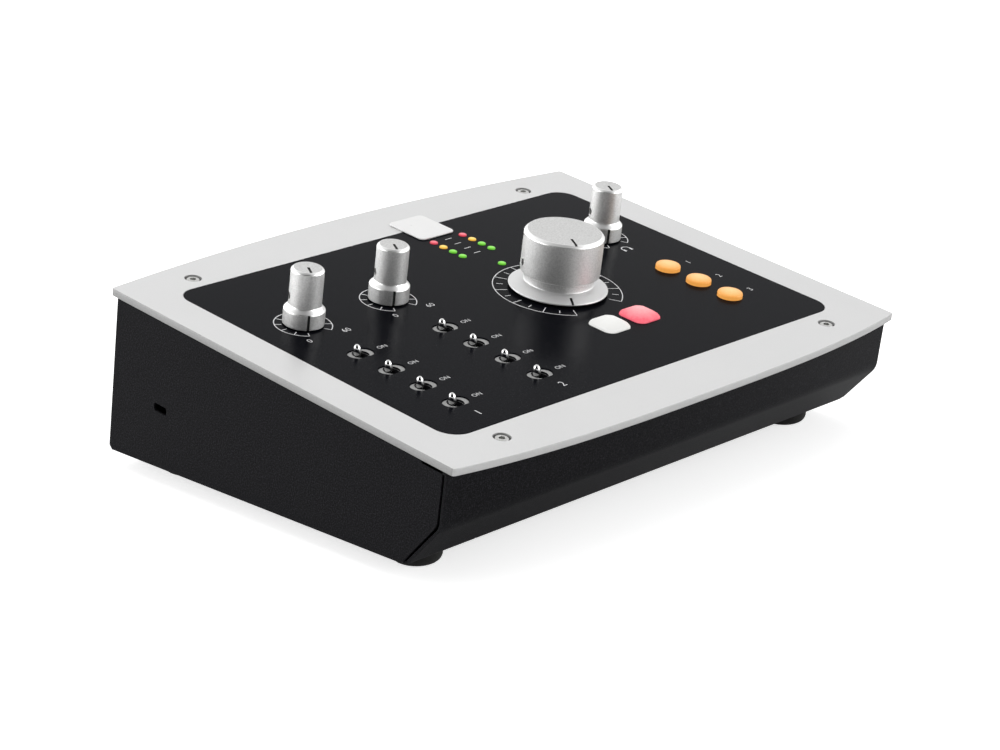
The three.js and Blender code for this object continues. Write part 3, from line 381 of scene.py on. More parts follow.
LAMP_AIM = (0, 0, 0.06)


def soft_lamp(name, place, width, height, power, mirrored=True):
    """A rectangular lamp that faces the object. One that isn't mirrored shows in no metal."""
    light = bpy.data.lights.new(name, "AREA")
    light.shape = "RECTANGLE"
    light.size = width
    light.size_y = height
    light.energy = power
    lamp = bpy.data.objects.new(name, light)
    away = Vector(place) - Vector(LAMP_AIM)
    turned = away.to_track_quat("Z", "Y").to_matrix().to_4x4()
    lamp.matrix_world = Matrix.Translation(Vector(place)) @ turned
    lamp.visible_glossy = mirrored
    bpy.context.scene.collection.objects.link(lamp)


soft_lamp("lamp_above", (-0.1, 0.2, 1.5), 1.6, 1.2, 9, mirrored=False)
soft_lamp("lamp_left", (-1.3, 0.5, 0.7), 0.7, 0.9, 4)
soft_lamp("lamp_right", (0.7, -1.7, 0.9), 0.6, 0.9, 4.5)

# The room that metal mirrors is pale overhead, brighter low down on two sides, and in shade on a third.
SHADE_SIDE = (-0.72, -0.69)
BRIGHT_SIDE = (0.69, -0.72)
LOW_LEVEL = 0.65
LOW_SHADE = 0.6
BRIGHT_LEVEL = 7.0
BRIGHT_TURN = 5.0
LEAST_LEVEL = 0.03
HIGH_LEVEL = 1.08
HIGH_SHADE = 1.3
HIGH_FROM = 0.25
HIGH_OVER = 0.4
DARK_SIDE = (0.58, 0.25)
OTHER_LIGHT = 0.5
world = bpy.data.worlds.new("studio")
bpy.context.scene.world = world
world.use_nodes = True
studio = Tree(world.node_tree)
x, y, z = studio.split(studio.node("TexCoord", output="Generated"))
shaded = x * SHADE_SIDE[0] + y * SHADE_SIDE[1]
sideways = x * BRIGHT_SIDE[0] + y * BRIGHT_SIDE[1]
bright = sideways * sideways * sideways * (sideways * BRIGHT_LEVEL + shaded * BRIGHT_TURN)
low_down = (LOW_LEVEL - shaded * LOW_SHADE + bright).maths("MAXIMUM", LEAST_LEVEL)
overhead = HIGH_LEVEL - shaded.maths("MAXIMUM", 0.0) * HIGH_SHADE
up_high = ((z - HIGH_FROM) / HIGH_OVER).limited()
strength = (low_down * (1 - up_high) + overhead * up_high) * shaded.below(*DARK_SIDE)
mirrored = studio.node("Background", {}, {"Color": 1, "Strength": strength})
lighting = studio.node("Background", {}, {"Color": OTHER_LIGHT})
backing = studio.node("Background", {}, {"Color": 1})
lit_or_mirrored = studio.node("MixShader", {}, [studio.rays("Glossy"), lighting, mirrored])
shown = studio.node("MixShader", {}, [studio.rays("Camera", "Transmission"), lit_or_mirrored, backing])
studio.node("OutputWorld", {}, {"Surface": shown})

# The floor shows the object's shadow: its paper is lit, and it glows only for what looks at it.
FLOOR_SIZE = 12.0
SEEN_GLOW = 0.72
MIRRORED_GLOW = 0.35
paper = Finish("floor_paper", base_color=0.82, roughness=0.9)
glow = paper.rays("Camera") * SEEN_GLOW + paper.rays("Glossy", "Transmission") * MIRRORED_GLOW
glowing_part = paper.node("Emission", {}, {"Color": 1, "Strength": glow})
paper.fill(paper.output.inputs["Surface"], paper.node("AddShader", {}, [glowing_part, paper.shader]))
floor_mesh = bpy.data.meshes.new("floor")
corners = FLOOR_SIZE / 2 * np.array([(-1, -1, 0), (1, -1, 0), (1, 1, 0), (-1, 1, 0)])
floor_mesh.from_pydata(corners, [], [(0, 1, 2, 3)])
floor_mesh.materials.append(paper.material)
floor = bpy.data.objects.new("floor", floor_mesh)
bpy.context.scene.collection.objects.link(floor)


# The case.
# One sheet of steel, 1.2 mm thick, is folded up at both sides and in front, with open seams at the
# front corners. It is powder coated black, with a fine grain. A security slot is cut in the left side.

SHEET = 1.2
CASE_HALF = 132.0
CASE_FRONT = -93.9
CASE_REAR = 92.6
UNDER_PLATE = -PLATE_THICK - SEAT
CREASE = -26.5
CHIN = -78.6
BENDS = [0, 1.6, 3.0, 2.2, 0]
SIDE_BEND = 1.2
CORNER_SEAM = 1.1
FLANGE = 13.0
NOTCH = 2.0
LOCK_SLOT = (63.0, -40.5, 7.5, 3.3, 1.0)
CUT_EDGE = 0.12
SIDE_EASE = 0.96


def case_bottom(v):
    """The height of the case's underside: level, so it falls away from the sloping deck."""
    return -(CASE_DROP + v * math.tan(SLOPE))


FOLDS = [(CASE_FRONT, UNDER_PLATE), (CASE_FRONT, CREASE), (CHIN, case_bottom(CHIN))]
HEEL = (CASE_REAR - NOTCH, case_bottom(CASE_REAR - NOTCH))
BENT_BELOW = case_bottom(CHIN + 4) + 2.5


def set_in(line, distance):
    """An open line moved to its left by a distance, with its corners kept sharp."""
    line = np.asarray(line, float)
    along = np.diff(line, axis=0)
    along /= np.linalg.norm(along, axis=1, keepdims=True)
    side = np.stack([-along[:, 1], along[:, 0]], -1)
    mitre = side[:-1] + side[1:]
    mitre = 2 * mitre / np.sum(mitre ** 2, 1, keepdims=True)
    return line + distance * np.concatenate([side[:1], mitre, side[-1:]])


POWDER_STOPS = [(0.3, (0.002, 0.002, 0.0025)), (0.5, (0.0065, 0.0065, 0.0078)),
                (0.72, (0.024, 0.024, 0.027))]
powder = Finish("powder_coat", specular_ior_level=0.05)
orange_peel = powder.noise(0.9, detail=3.0, roughness=0.6)
speck = powder.noise(0.6, roughness=0.7)
powder.set(base_color=powder.node("ValToRGB", {"stops": POWDER_STOPS}, [speck]))
powder.set(roughness=speck * 0.25 + 0.45)
powder.bump(orange_peel * 0.6 + speck * 0.4, 0.14)


def fold_of_case():
    """The front flange, wall, chin and bottom: one line of folds with a thickness, carried across u."""
    line = [(CASE_FRONT + FLANGE, UNDER_PLATE), *FOLDS, HEEL]
    outer = eased(line, BENDS, 8)
    inner = eased(set_in(line, SHEET), np.maximum(np.array(BENDS) - SHEET, 0.3), 8)
    middle = (outer + inner) / 2
    section = np.concatenate([outer, inner[::-1]])
    inward = (np.concatenate([middle, middle[::-1]]) - section) / (SHEET / 2)
    bottom = np.concatenate([outer[:, 1], outer[::-1, 1]]) < BENT_BELOW
    reach = np.where(bottom, CASE_HALF - SIDE_BEND, CASE_HALF)
    stations = [(-1, 0.0, CUT_EDGE), (-1, CUT_EDGE / 3, CUT_EDGE / 3), (-1, CUT_EDGE, 0.0)]
    stations += [(1, inset, ease) for _, inset, ease in reversed(stations)]
    rows = []
    for side, inset, ease in stations:
        rows.append(np.column_stack([side * (reach - inset), section + inward * ease]))
    return np.asarray(rows), len(outer)


def side_of_case():
    """One side's outline in v and w: it stops short of the front by the seam, and has its heel cut off."""
    edge = set_in([*FOLDS, HEEL], SHEET + CORNER_SEAM)
    slope = (edge[2, 0] - edge[1, 0]) / (edge[2, 1] - edge[1, 1])
    toe = edge[2, 0] + (case_bottom(edge[2, 0]) - edge[2, 1]) * slope
    corners = [edge[0], edge[1], (toe, case_bottom(toe)), HEEL,
               (CASE_REAR, case_bottom(CASE_REAR) + NOTCH), (CASE_REAR, UNDER_PLATE), edge[0]]
    return eased(corners, [0, BENDS[2], 0.5, 0.5, 0.5, 0.3, 0], 6)[:-1]


def cut_edge(loop, way, near, far, radius, far_radius=None):
    """Rows of a loop down a sheet's edge: a quarter circle at each face. A way of -1 is a hole's edge."""
    out = outward(loop) * way
    rows = []
    for depth, sign, ease in ((near, 1, radius), (far, -1, radius if far_radius is None else far_radius)):
        size = np.broadcast_to(ease, len(loop))[:, None]
        for angle in np.radians(np.linspace(0, 90, 4))[::sign]:
            flat = loop - out * size * (1 - math.sin(angle))
            level = depth + sign * size * (1 - math.cos(angle)) * np.sign(far - near)
            rows.append(np.column_stack([flat, level]))
    return np.asarray(rows)


def edged_sheet(blank, outline, holes, near, far, radius, turn=np.asarray, finish=0):
    """A flat sheet between two depths: rounded along every edge, with its faces filled between the edges."""
    edges = [cut_edge(outline, 1, near, far, radius)]
    edges += [cut_edge(hole, -1, near, far, np.min(radius)) for hole in holes]
    for rows in edges:
        blank.weave(turn(rows), around=True, finish=finish)
    for row in (0, -1):
        blank.fill([turn(rows[row]) for rows in edges], finish=finish)


case = Blank()
folds, outer_count = fold_of_case()
case.weave(folds, around=True)
for end in (0, -1):
    outer_row = folds[end][:outer_count]
    inner_row = folds[end][outer_count:][::-1]
    case.weave([outer_row, inner_row], smooth=False)
side_line = side_of_case()
near_bottom = side_line[:, 1] < case_bottom(side_line[:, 0]) + 0.05
side_ease = np.minimum(np.where(near_bottom, SIDE_EASE, CUT_EDGE), SHEET / 2.1)
lock = rounded(LOCK_SLOT[2], LOCK_SLOT[3], LOCK_SLOT[4], 6, LOCK_SLOT[:2])
for side in (-1, 1):
    def upright(rows, side=side):
        """A sheet drawn in v and w, with its depth along u."""
        return np.stack([rows[..., 2] * side, rows[..., 0], rows[..., 1]], -1)
    holes = [lock] if side == -1 else []
    edged_sheet(case, side_line, holes, CASE_HALF, CASE_HALF - SHEET, side_ease, upright)
case.made("folded_case", "case", [powder], "powder_coat", ["case_pan"])


def dress(finish, *nodes):
    """Gives nodes whose shapes are right a finish of their own."""
    for node in nodes:
        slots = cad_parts[node].data.materials
        slots.clear()
        slots.append(finish.material)


dress(powder, "rear_panel")


# The feet.
# Four round pads of black rubber are stuck under the case. Their lower edges are moulded round, and
# their skin is matt with a faint cast grain.

FOOT_RADIUS = 10.2
FOOT_ROUND = 3.6
FOOT_TOP_EDGE = 0.4
FOOT_PLACES = {"front_left": (-111.4, -56.2), "front_right": (111.4, -56.2),
               "rear_left": (-111.4, 76.0), "rear_right": (111.4, 76.0)}

rubber = Finish("foot_rubber", roughness=0.85, specular_ior_level=0.3)
rubber.grained(rubber.noise(0.6, detail=3.0), 0.007, (0.020, 0.020, 0.019), bump=0.06)


def foot_profile():
    """Radius and height: flat below, a quarter circle at the lower edge, then straight up to the seat."""
    lower = arc((FOOT_RADIUS - FOOT_ROUND, FOOT_ROUND), FOOT_ROUND, -90, 0, 8)
    top = FOOT_HEIGHT - SEAT
    seat = [(FOOT_RADIUS, top - FOOT_TOP_EDGE), (FOOT_RADIUS - FOOT_TOP_EDGE, top), (0, top)]
    return np.concatenate([[(0, 0)], lower, seat])


for corner, (x, y) in FOOT_PLACES.items():
    pad = Blank(on_desk)
    pad.weave(spun(foot_profile(), 64, (x, y, 0)), around=True)
    pad.made("rubber_pad_" + corner, "case", [rubber], "black_rubber", ["foot_" + corner])


# The deck plate.
# An aluminium plate, 3 mm thick, with bowed ends and straight milled sides. A pocket for the panel, a
# land around each lever and four screw seats are milled in, and it is anodised to a satin silver. Its
# recesses and straight sides are painted with a darker copy of the satin, and its holes' walls black,
# as painted shade.

PLATE_HALF = 132.5
FRONT_BOW = 8.1
REAR_BOW = 8.5
PLATE_CORNER = 1.3
PLATE_EDGE = 0.18
PANEL_WIDTH = 229.0
PANEL_DEPTH = 157.2
PANEL_CORNER = 9.0
PANEL_THICK = 1.0
PANEL_EDGE = 0.12
POCKET_FLOOR = -PANEL_THICK - SEAT
SCREW_PLACES = {"front_left": (-97.9, -88.0), "front_right": (97.9, -88.0),
                "rear_left": (-97.9, 86.8), "rear_right": (97.9, 86.8)}
SCREW_SEAT = 3.5
SCREW_SEAT_FLOOR = -2.1
SCREW_HOLE = 1.8
FLOOR_EDGE = 0.02
OPENING_EDGE = 0.08
KNOB_PLACES = {"gain_1": (-90.9, 28.3), "gain_2": (-44.1, 28.3),
               "phones": (86.1, 28.3), "monitor": (25.5, -1.6)}
BUSH_RADIUS = 4.5
TOGGLE_COLUMNS = (-90.6, -43.9)
ROW_PITCH = 17.36
TOGGLE_ROWS = [-4.5 - ROW_PITCH * row for row in range(4)]
TOGGLE_PLACES = [(u, v) for u in TOGGLE_COLUMNS for v in TOGGLE_ROWS]
LEVER_HOLE = 3.2
SLOT_LENGTH = 12.0
SLOT_WIDTH = 7.4
SLOT_CORNER = SLOT_WIDTH / 2 - 0.01
LAND_TOP = -0.5
LAND_HOLE = 3.4
LAND_SUNK = 0.05
SQUARE_PLACES = {"dim_button": (16.35, -39.2), "cut_button": (34.95, -39.2)}
SQUARE_SIDE = 14.4
SQUARE_CORNER = 3.9
ROUND_PLACES = {"function_button_" + str(i + 1): (85.0, -11.4 - ROW_PITCH * i) for i in range(3)}
ROUND_RADIUS = 5.4
METER_COLUMNS = {"left": 16.5, "right": 34.1}
METER_ROWS = [62.7 - 5.8 * row for row in range(4)]
STATUS_PLACE = (25.5, 30.7)
LENS_RADIUS = 1.75


def front_edge(u):
    """The plate's front edge: v falls back as the cube of the distance from the middle."""
    return FRONT_BOW * np.abs(u / PLATE_HALF) ** 3 - PLATE_FRONT


def rear_edge(u):
    """The plate's rear edge: v falls back as the square of the distance from the middle."""
    return PLATE_REAR - REAR_BOW * (u / PLATE_HALF) ** 2


def bent(start, corner, end, steps=6):
    """A corner's inner points: (1-t)^2 of its start, 2t(1-t) of the corner and t^2 of its end."""
    share = np.linspace(0, 1, steps + 1)[1:-1, None]
    start, corner, end = np.array(start), np.array(corner), np.array(end)
    return (1 - share) ** 2 * start + 2 * share * (1 - share) * corner + share ** 2 * end


def bowed_outline(steps=56):
    """The plate's outline, anticlockwise: both bowed edges, straight sides and four bent corners."""
    side, flat = PLATE_HALF, PLATE_HALF - PLATE_CORNER
    u = np.linspace(-flat, flat, steps + 1)
    low, high = front_edge(side), rear_edge(side)
    near, far = (side, low + PLATE_CORNER), (side, high - PLATE_CORNER)
    right = np.concatenate([bent((flat, front_edge(flat)), (side, low), near), [near, far],
                            bent(far, (side, high), (flat, rear_edge(flat)))])
    return np.concatenate([np.column_stack([u, front_edge(u)]), right,
                           np.column_stack([u, rear_edge(u)])[::-1], right[::-1] * (-1, 1)])


def control_openings(lever_opening, room):
    """Closed loops around every control, each wider than its control by the room left around it."""
    side = SQUARE_SIDE + 2 * room
    places = [(u, v) for u in METER_COLUMNS.values() for v in METER_ROWS] + [STATUS_PLACE]
    loops = [ring(BUSH_RADIUS + room, 48, place) for place in KNOB_PLACES.values()]
    loops += [ring(LENS_RADIUS + room, 40, place) for place in places]
    loops += [ring(ROUND_RADIUS + room, 72, place) for place in ROUND_PLACES.values()]
    loops += [rounded(side, side, SQUARE_CORNER, 8, place) for place in SQUARE_PLACES.values()]
    loops += [lever_opening + place for place in TOGGLE_PLACES]
    return loops


satin = Finish("satin_silver", metallic=0.55, specular_ior_level=0.5)
blast = satin.noise(0.45, detail=3.0, roughness=0.7)
cloud = satin.noise(38.0)
satin.grained(blast * 0.75 + cloud * 0.25, 0.63, 0.74)
satin.set(roughness=blast * 0.16 + 0.34)
satin.bump(blast, 0.035)
# A darker, rougher copy of the satin for the pocket floor, the lands, the screw seats and the plate's
# straight sides: painted shade.
milled_shade = Finish("milled_floor_painted_shade", metallic=0.3)
milled_shade.grained(milled_shade.noise(0.6, detail=3.0), 0.26, (0.42, 0.42, 0.415), (0.45, 0.2))
# A darker, less metallic copy of the satin for the plate's bowed front and rear edges: painted shade on
# faces turned from the light above.
edge_shade_satin = Finish("satin_edge_painted_shade", metallic=0.2)
edge_shade_satin.grained(edge_shade_satin.noise(0.7, detail=3.0), 0.50, (0.60, 0.60, 0.595), (0.4, 0.15))

plate = Blank()
outline = bowed_outline()
border = cut_edge(outline, 1, 0, -PLATE_THICK, PLATE_EDGE)
# The straight sides take the darker milled copy and the bowed ends the edge copy: painted shade on the
# plate's edges.
side_or_bow_shade = np.where(np.abs(outline[:, 0]) > PLATE_HALF - CUT_EDGE, 1, 2)
plate.weave(border, around=True, finish=np.tile(side_or_bow_shade, (len(border) - 1, 1)))
pocket_line = rounded(PANEL_WIDTH + 2 * SEAT, PANEL_DEPTH + 2 * SEAT, PANEL_CORNER + SEAT, 14)
pocket = cut_edge(pocket_line, -1, 0, POCKET_FLOOR, CUT_EDGE, FLOOR_EDGE)
openings = [cut_edge(loop, -1, POCKET_FLOOR, -PLATE_THICK, OPENING_EDGE)
            for loop in control_openings(ring(LEVER_HOLE, 40), SEAT)]
seats, shanks = [], []
for place in SCREW_PLACES.values():
    seats.append(cut_edge(ring(SCREW_SEAT, 48, place), -1, 0, SCREW_SEAT_FLOOR, 0.15, FLOOR_EDGE))
    shanks.append(cut_edge(ring(SCREW_HOLE, 32, place), -1, SCREW_SEAT_FLOOR, -PLATE_THICK, 0.05))
# The screw seats and shanks take the darker copy, and the walls of the control openings the black powder
# coat: painted shade in the recesses and holes.
for finish, group in {0: [pocket], 1: seats + shanks, 3: openings}.items():
    for rows in group:
        plate.weave(rows, around=True, finish=finish)
plate.fill([border[0], pocket[0]] + [rows[0] for rows in seats])
# The pocket floor, seen through the panel's slots, takes the darker copy as painted shade.
plate.fill([pocket[-1]] + [rows[0] for rows in openings], finish=1)
for seat, shank in zip(seats, shanks):
    plate.fill([seat[-1], shank[0]], finish=1)
plate.fill([border[-1]] + [rows[-1] for rows in openings + shanks])
land = rounded(SLOT_LENGTH - SEAT, SLOT_WIDTH - SEAT, SLOT_CORNER - SEAT / 2, 14)
land_foot = POCKET_FLOOR - LAND_SUNK
# Each lever's land takes the darker copy, and its bore the black powder coat: painted shade in the slot and
# the hole.
for place in TOGGLE_PLACES:
    rim = cut_edge(land + place, 1, LAND_TOP, land_foot, PANEL_EDGE)
    bore = cut_edge(ring(LAND_HOLE, 40, place), -1, LAND_TOP, land_foot, PANEL_EDGE)
    plate.weave(rim, around=True, finish=1)
    plate.weave(bore, around=True, finish=3)
    for row in (0, -1):
        plate.fill([rim[row], bore[row]], finish=1)
plate.made("bowed_plate", "case", [satin, milled_shade, edge_shade_satin, powder], "satin_silver", ["deck_plate"])


# The control panel.
# A sheet of black satin film on metal, 1 mm thick, lies flush in the plate's pocket. It is cut out
# around every control, with an obround slot for each toggle lever.

PANEL_ROOM = 0.15

film = Finish("panel_film", specular_ior_level=0.0155)
film_grain = film.noise(0.9, detail=3.0, roughness=0.65)
film.grained(film_grain, (0.0002, 0.0003, 0.0014), (0.0085, 0.0090, 0.0120), (0.16, 0.10), 0.015)

panel = Blank()
panel_line = rounded(PANEL_WIDTH, PANEL_DEPTH, PANEL_CORNER, 14)
cut_outs = control_openings(rounded(SLOT_LENGTH, SLOT_WIDTH, SLOT_CORNER, 14), PANEL_ROOM)
edged_sheet(panel, panel_line, cut_outs, 0, -PANEL_THICK, PANEL_EDGE)
panel.made("black_panel", "case", [film], "panel_film", ["control_panel"])


# The printing on the panel.
# Thin white scales, ticks, plain numbers and ON are screen printed on the film, in ink a little
# above it.

INK_LIFT = 0.03
SCALE_LINE = 0.38
SMALL_SCALE = 11.7
SMALL_TICK_FROM = 8.8
MONITOR_SCALE = 27.3
MONITOR_LONG_FROM = 22.0
MONITOR_SHORT = (23.0, 25.7)
SCALE_START = -60
SCALE_END = 240
DIGIT = 2.9
GROUP_DIGIT = 3.7
WORD = 2.2
THINNER = -0.008
ZERO_AT = (-8.9, -13.5)
SIXTY_AT = (10.9, -13.3)
GROUP_AT = (0.5, -68.0)
ON_AT = 11.4
NUMBER_AT = 98.5
METER_DASH = (23.4, 27.2)
PHONES_SIGN = (86.0, 13.3)

ink = Finish("printing_ink", roughness=0.5)
ink.grained(ink.noise(0.7), (0.78, 0.78, 0.79), (0.90, 0.90, 0.91))


def lifted(points):
    """Flat points on the panel, raised by the ink."""
    points = np.asarray(points, float)
    return np.concatenate([points, np.full((*points.shape[:-1], 1), INK_LIFT)], -1)


def inked_arc(blank, centre, radius, start, end, steps, line=SCALE_LINE):
    """A stretch of a circle with the width of a line: two circles' points, joined across."""
    edges = [arc(centre, radius + side * line / 2, start, end, steps) for side in (-1, 1)]
    blank.weave(lifted(edges), smooth=False)


def inked_line(blank, start, end, line=SCALE_LINE):
    """A straight line: its ends are set apart to both sides by half its width."""
    start, end = np.array(start, float), np.array(end, float)
    along = (end - start) / np.linalg.norm(end - start)
    side = np.array([-along[1], along[0]]) * line / 2
    blank.weave(lifted([[start - side, end - side], [start + side, end + side]]), smooth=False)


def inked_ray(blank, centre, angle, near, far):
    """A tick: a line along one direction from a centre, between two radii."""
    inked_line(blank, *(arc(centre, radius, angle, angle, 0)[0] for radius in (near, far)))


def inked_word(blank, word, centre, height):
    """Figures in a plain face: the font's outlines filled, scaled to a height and centred on a place."""
    curve = bpy.data.curves.new("figure", "FONT")
    curve.body = word
    curve.resolution_u = 3
    curve.offset = THINNER
    figure = bpy.data.objects.new("figure", curve)
    bpy.context.scene.collection.objects.link(figure)
    bpy.context.view_layer.update()
    flat = bpy.data.meshes.new_from_object(figure.evaluated_get(bpy.context.evaluated_depsgraph_get()))
    points = np.empty(len(flat.vertices) * 3)
    flat.vertices.foreach_get("co", points)
    points = points.reshape(-1, 3)[:, :2]
    low, high = points.min(0), points.max(0)
    points = (points - (low + high) / 2) * height / (high[1] - low[1]) + centre
    start = blank.start()
    blank.take(lifted(points), [tuple(start + i for i in face.vertices) for face in flat.polygons], False, 0)
    bpy.data.objects.remove(figure)
    bpy.data.curves.remove(curve)
    bpy.data.meshes.remove(flat)


print_run = Blank()
for knob in ("gain_1", "gain_2", "phones"):
    middle = np.array(KNOB_PLACES[knob])
    inked_arc(print_run, middle, SMALL_SCALE, SCALE_START, SCALE_END, 90)
    for angle in range(SCALE_START, SCALE_END + 1, 30):
        inked_ray(print_run, middle, angle, SMALL_TICK_FROM, SMALL_SCALE)
    if knob != "phones":
        inked_word(print_run, "0", middle + ZERO_AT, DIGIT)
        inked_word(print_run, "60", middle + SIXTY_AT, DIGIT)
middle = np.array(KNOB_PLACES["monitor"])
inked_arc(print_run, middle, MONITOR_SCALE, SCALE_START, SCALE_END, 150)
for angle in range(SCALE_START, SCALE_END + 1, 30):
    inked_ray(print_run, middle, angle, MONITOR_LONG_FROM, MONITOR_SCALE)
for angle in range(SCALE_START + 15, SCALE_END, 30):
    inked_ray(print_run, middle, angle, *MONITOR_SHORT)
for u, number in zip(TOGGLE_COLUMNS, "12"):
    inked_word(print_run, number, (u + GROUP_AT[0], GROUP_AT[1]), GROUP_DIGIT)
    for v in TOGGLE_ROWS:
        inked_word(print_run, "ON", (u + ON_AT, v), WORD)
for (u, v), number in zip(ROUND_PLACES.values(), "123"):
    inked_word(print_run, number, (NUMBER_AT, v), DIGIT)
for v in METER_ROWS:
    inked_line(print_run, (METER_DASH[0], v), (METER_DASH[1], v))
inked_arc(print_run, PHONES_SIGN, 2.3, 0, 180, 18, 0.5)
for side in (-1, 1):
    cup = PHONES_SIGN[0] + side * 2.0
    inked_line(print_run, (cup, PHONES_SIGN[1] - 1.8), (cup, PHONES_SIGN[1] + 0.1), 1.1)
print_run.made("panel_printing", "case", [ink], "panel_film", upward=True)


# The badge.
# A small white tile with rounded corners is stuck over the panel's rear border. It is moulded smooth
# and left bare.

BADGE = (20.4, 21.7, 2.6)
BADGE_PLACE = (23.5, 77.5)
BADGE_TOP = 0.8
BADGE_EDGE = 0.35
BADGE_FOOT = 0.05

tile_white = Finish("badge_white", specular_ior_level=0.5)
tile_white.grained(tile_white.noise(2.4), (0.86, 0.86, 0.855), (0.89, 0.89, 0.885), (0.25, 0.1), 0.002)
tile = Blank()
edged_sheet(tile, rounded(*BADGE, 8, BADGE_PLACE), [], BADGE_TOP, BADGE_FOOT, BADGE_EDGE)
tile.made("white_tile", "case", [tile_white], "white_badge", ["badge_tile"])


# The plate screws.
# Four low round heads with a hexagon socket hold the plate to the clinch nuts in the case. They are
# bright steel, turned, with a domed edge.

HEAD_RADIUS = 2.9
HEAD_HEIGHT = 1.5
HEAD_TOP = -0.3
SHANK_RADIUS = 1.5
SHANK_REACH = 6.0
HEX_ACROSS = 2.5
HEX_DEPTH = 1.1
HEAD_EASE = 0.7
HEX_EASE = 0.06

steel = Finish("bright_steel", metallic=1.0)
turned_marks = steel.noise(0.3, detail=3.0, roughness=0.7)
steel.grained(turned_marks, (0.42, 0.42, 0.41), (0.60, 0.60, 0.59), (0.2, 0.2), 0.02)


def screw_rows(centre):
    """A turned screw with a hexagon: half its width over the cosine of the turn from a flat's middle."""
    turn = np.linspace(0, 2 * math.pi, 48, endpoint=False)
    hexagon = HEX_ACROSS / 2 / np.cos(np.mod(turn, math.pi / 3) - math.pi / 6)
    bottom = HEAD_TOP - HEAD_HEIGHT
    foot, floor = bottom - SHANK_REACH, HEAD_TOP - HEX_DEPTH
    stack = [(0, foot), (SHANK_RADIUS, foot), (SHANK_RADIUS, bottom), (HEAD_RADIUS, bottom)]
    stack += [*arc((HEAD_RADIUS - HEAD_EASE, HEAD_TOP - HEAD_EASE), HEAD_EASE, 0, 90, 5)]
    stack += [(hexagon + HEX_EASE, HEAD_TOP), (hexagon, HEAD_TOP - HEX_EASE), (hexagon, floor), (0, floor)]
    way = np.stack([np.cos(turn), np.sin(turn)])
    rows = [[*(way * r + np.reshape(centre, (2, 1))), np.full(len(turn), w)] for r, w in stack]
    return np.moveaxis(np.asarray(rows), 1, -1)


for corner, place in SCREW_PLACES.items():
    screw = Blank()
    screw.weave(screw_rows(place), around=True)
    screw.made("socket_screw_" + corner, "case", [steel], "bright_steel", ["plate_screw_" + corner])


# The knobs.
# Turned from aluminium and bead blasted, with bright bevels. The large one's flange is given the plate's
# lighter satin, as painted light where the barrel shades it. Two grooves show where each points, filled
# with black, and a grub screw goes in at the side.

POINTER = 240
POINTER_WIDTH = 1.05
GRUB_TURN = 150
GRUB_HOLE = 1.5
GRUB_HEIGHT = 12.4
SHAFT_ROOM = 3.3
SHAFT_TOP = 15.9
BUSH_ROOM = 5.1
BUSH_TOP = 4.0
SMALL_OUTLINE = [(8.4, 0.6), (8.4, 7.0), (6.7, 8.8), (6.7, 23.4), (5.7, 24.4)]
SMALL_GROOVES = [(0.3, 5.7, 23.9, 25.4), (7.9, 9.4, -0.4, 7.1)]
MONITOR_OUTLINE = [(21.0, 1.2), (21.0, 2.0), (14.8, 4.2), (14.8, 8.1),
                   (16.4, 8.1), (16.8, 8.5), (16.8, 24.9), (15.5, 26.2)]
MONITOR_GROOVES = [(9.1, 16.8, 25.7, 27.2), (17.2, 22.0, 1.75, 4.2)]
KNOB_EASE = 0.35
FLANGE_FROM = 14.9

blasted = Finish("blasted_silver", metallic=1.0)
bead = blasted.noise(0.7, detail=3.0, roughness=0.7)
blasted.grained(bead, (0.36, 0.36, 0.355), (0.86, 0.86, 0.855), (0.44, 0.12), 0.03)
bevel = Finish("bright_bevel", metallic=1.0)
bevel.grained(bevel.noise(0.3), (0.76, 0.76, 0.755), (0.86, 0.86, 0.855), (0.28, 0.08))
filling = Finish("pointer_black", roughness=0.6)
filling.grained(filling.noise(0.4), 0.006, 0.014)
# The satin on the large knob's flange is painted light: a lighter finish where the barrel shades it.
KNOB_FINISHES = [blasted, bevel, filling, satin]


def carved(piece, cutters):
    """Cuts closed shapes out of a piece. The cut faces keep the finish that the cutter had."""
    for cutter in cutters:
        cut = piece.modifiers.new("cut", "BOOLEAN")
        cut.operation = "DIFFERENCE"
        cut.solver = "EXACT"
        cut.object = cutter
    bpy.context.view_layer.update()
    result = bpy.data.meshes.new_from_object(piece.evaluated_get(bpy.context.evaluated_depsgraph_get()))
    creased(result)
    piece.modifiers.clear()
    piece.data = result
    for cutter in cutters:
        bpy.data.objects.remove(cutter)


def cutter_between(loops, finish):
    """A closed bar between two equal flat loops."""
    bar = Blank()
    bar.weave(loops, around=True, smooth=False, finish=finish)
    for loop in loops:
        bar.fill([loop], finish)
    return bar.shaped("cutter", KNOB_FINISHES)


def groove_cutter(centre, near, far, bottom, top):
    """A block along the pointer's direction, between two radii and two heights."""
    way = ring(1, 4, start=POINTER)[0]
    side = np.array([-way[1], way[0]]) * POINTER_WIDTH / 2
    base = np.array([way * near - side, way * far - side, way * far + side, way * near + side]) + centre
    return cutter_between([np.column_stack([base, np.full(4, level)]) for level in (bottom, top)], 2)


def grub_cutter(centre, reach, sides=24):
    """A round bar from inside the hollow to outside the barrel, along the grub screw's direction."""
    way = np.array([*ring(1, 4, start=GRUB_TURN)[0], 0])
    circle = ring(GRUB_HOLE, sides)
    loop = circle[:, :1] * (-way[1], way[0], 0) + circle[:, 1:] * (0, 0, 1) + (*centre, GRUB_HEIGHT)
    return cutter_between([loop + way, loop + way * reach], 0)


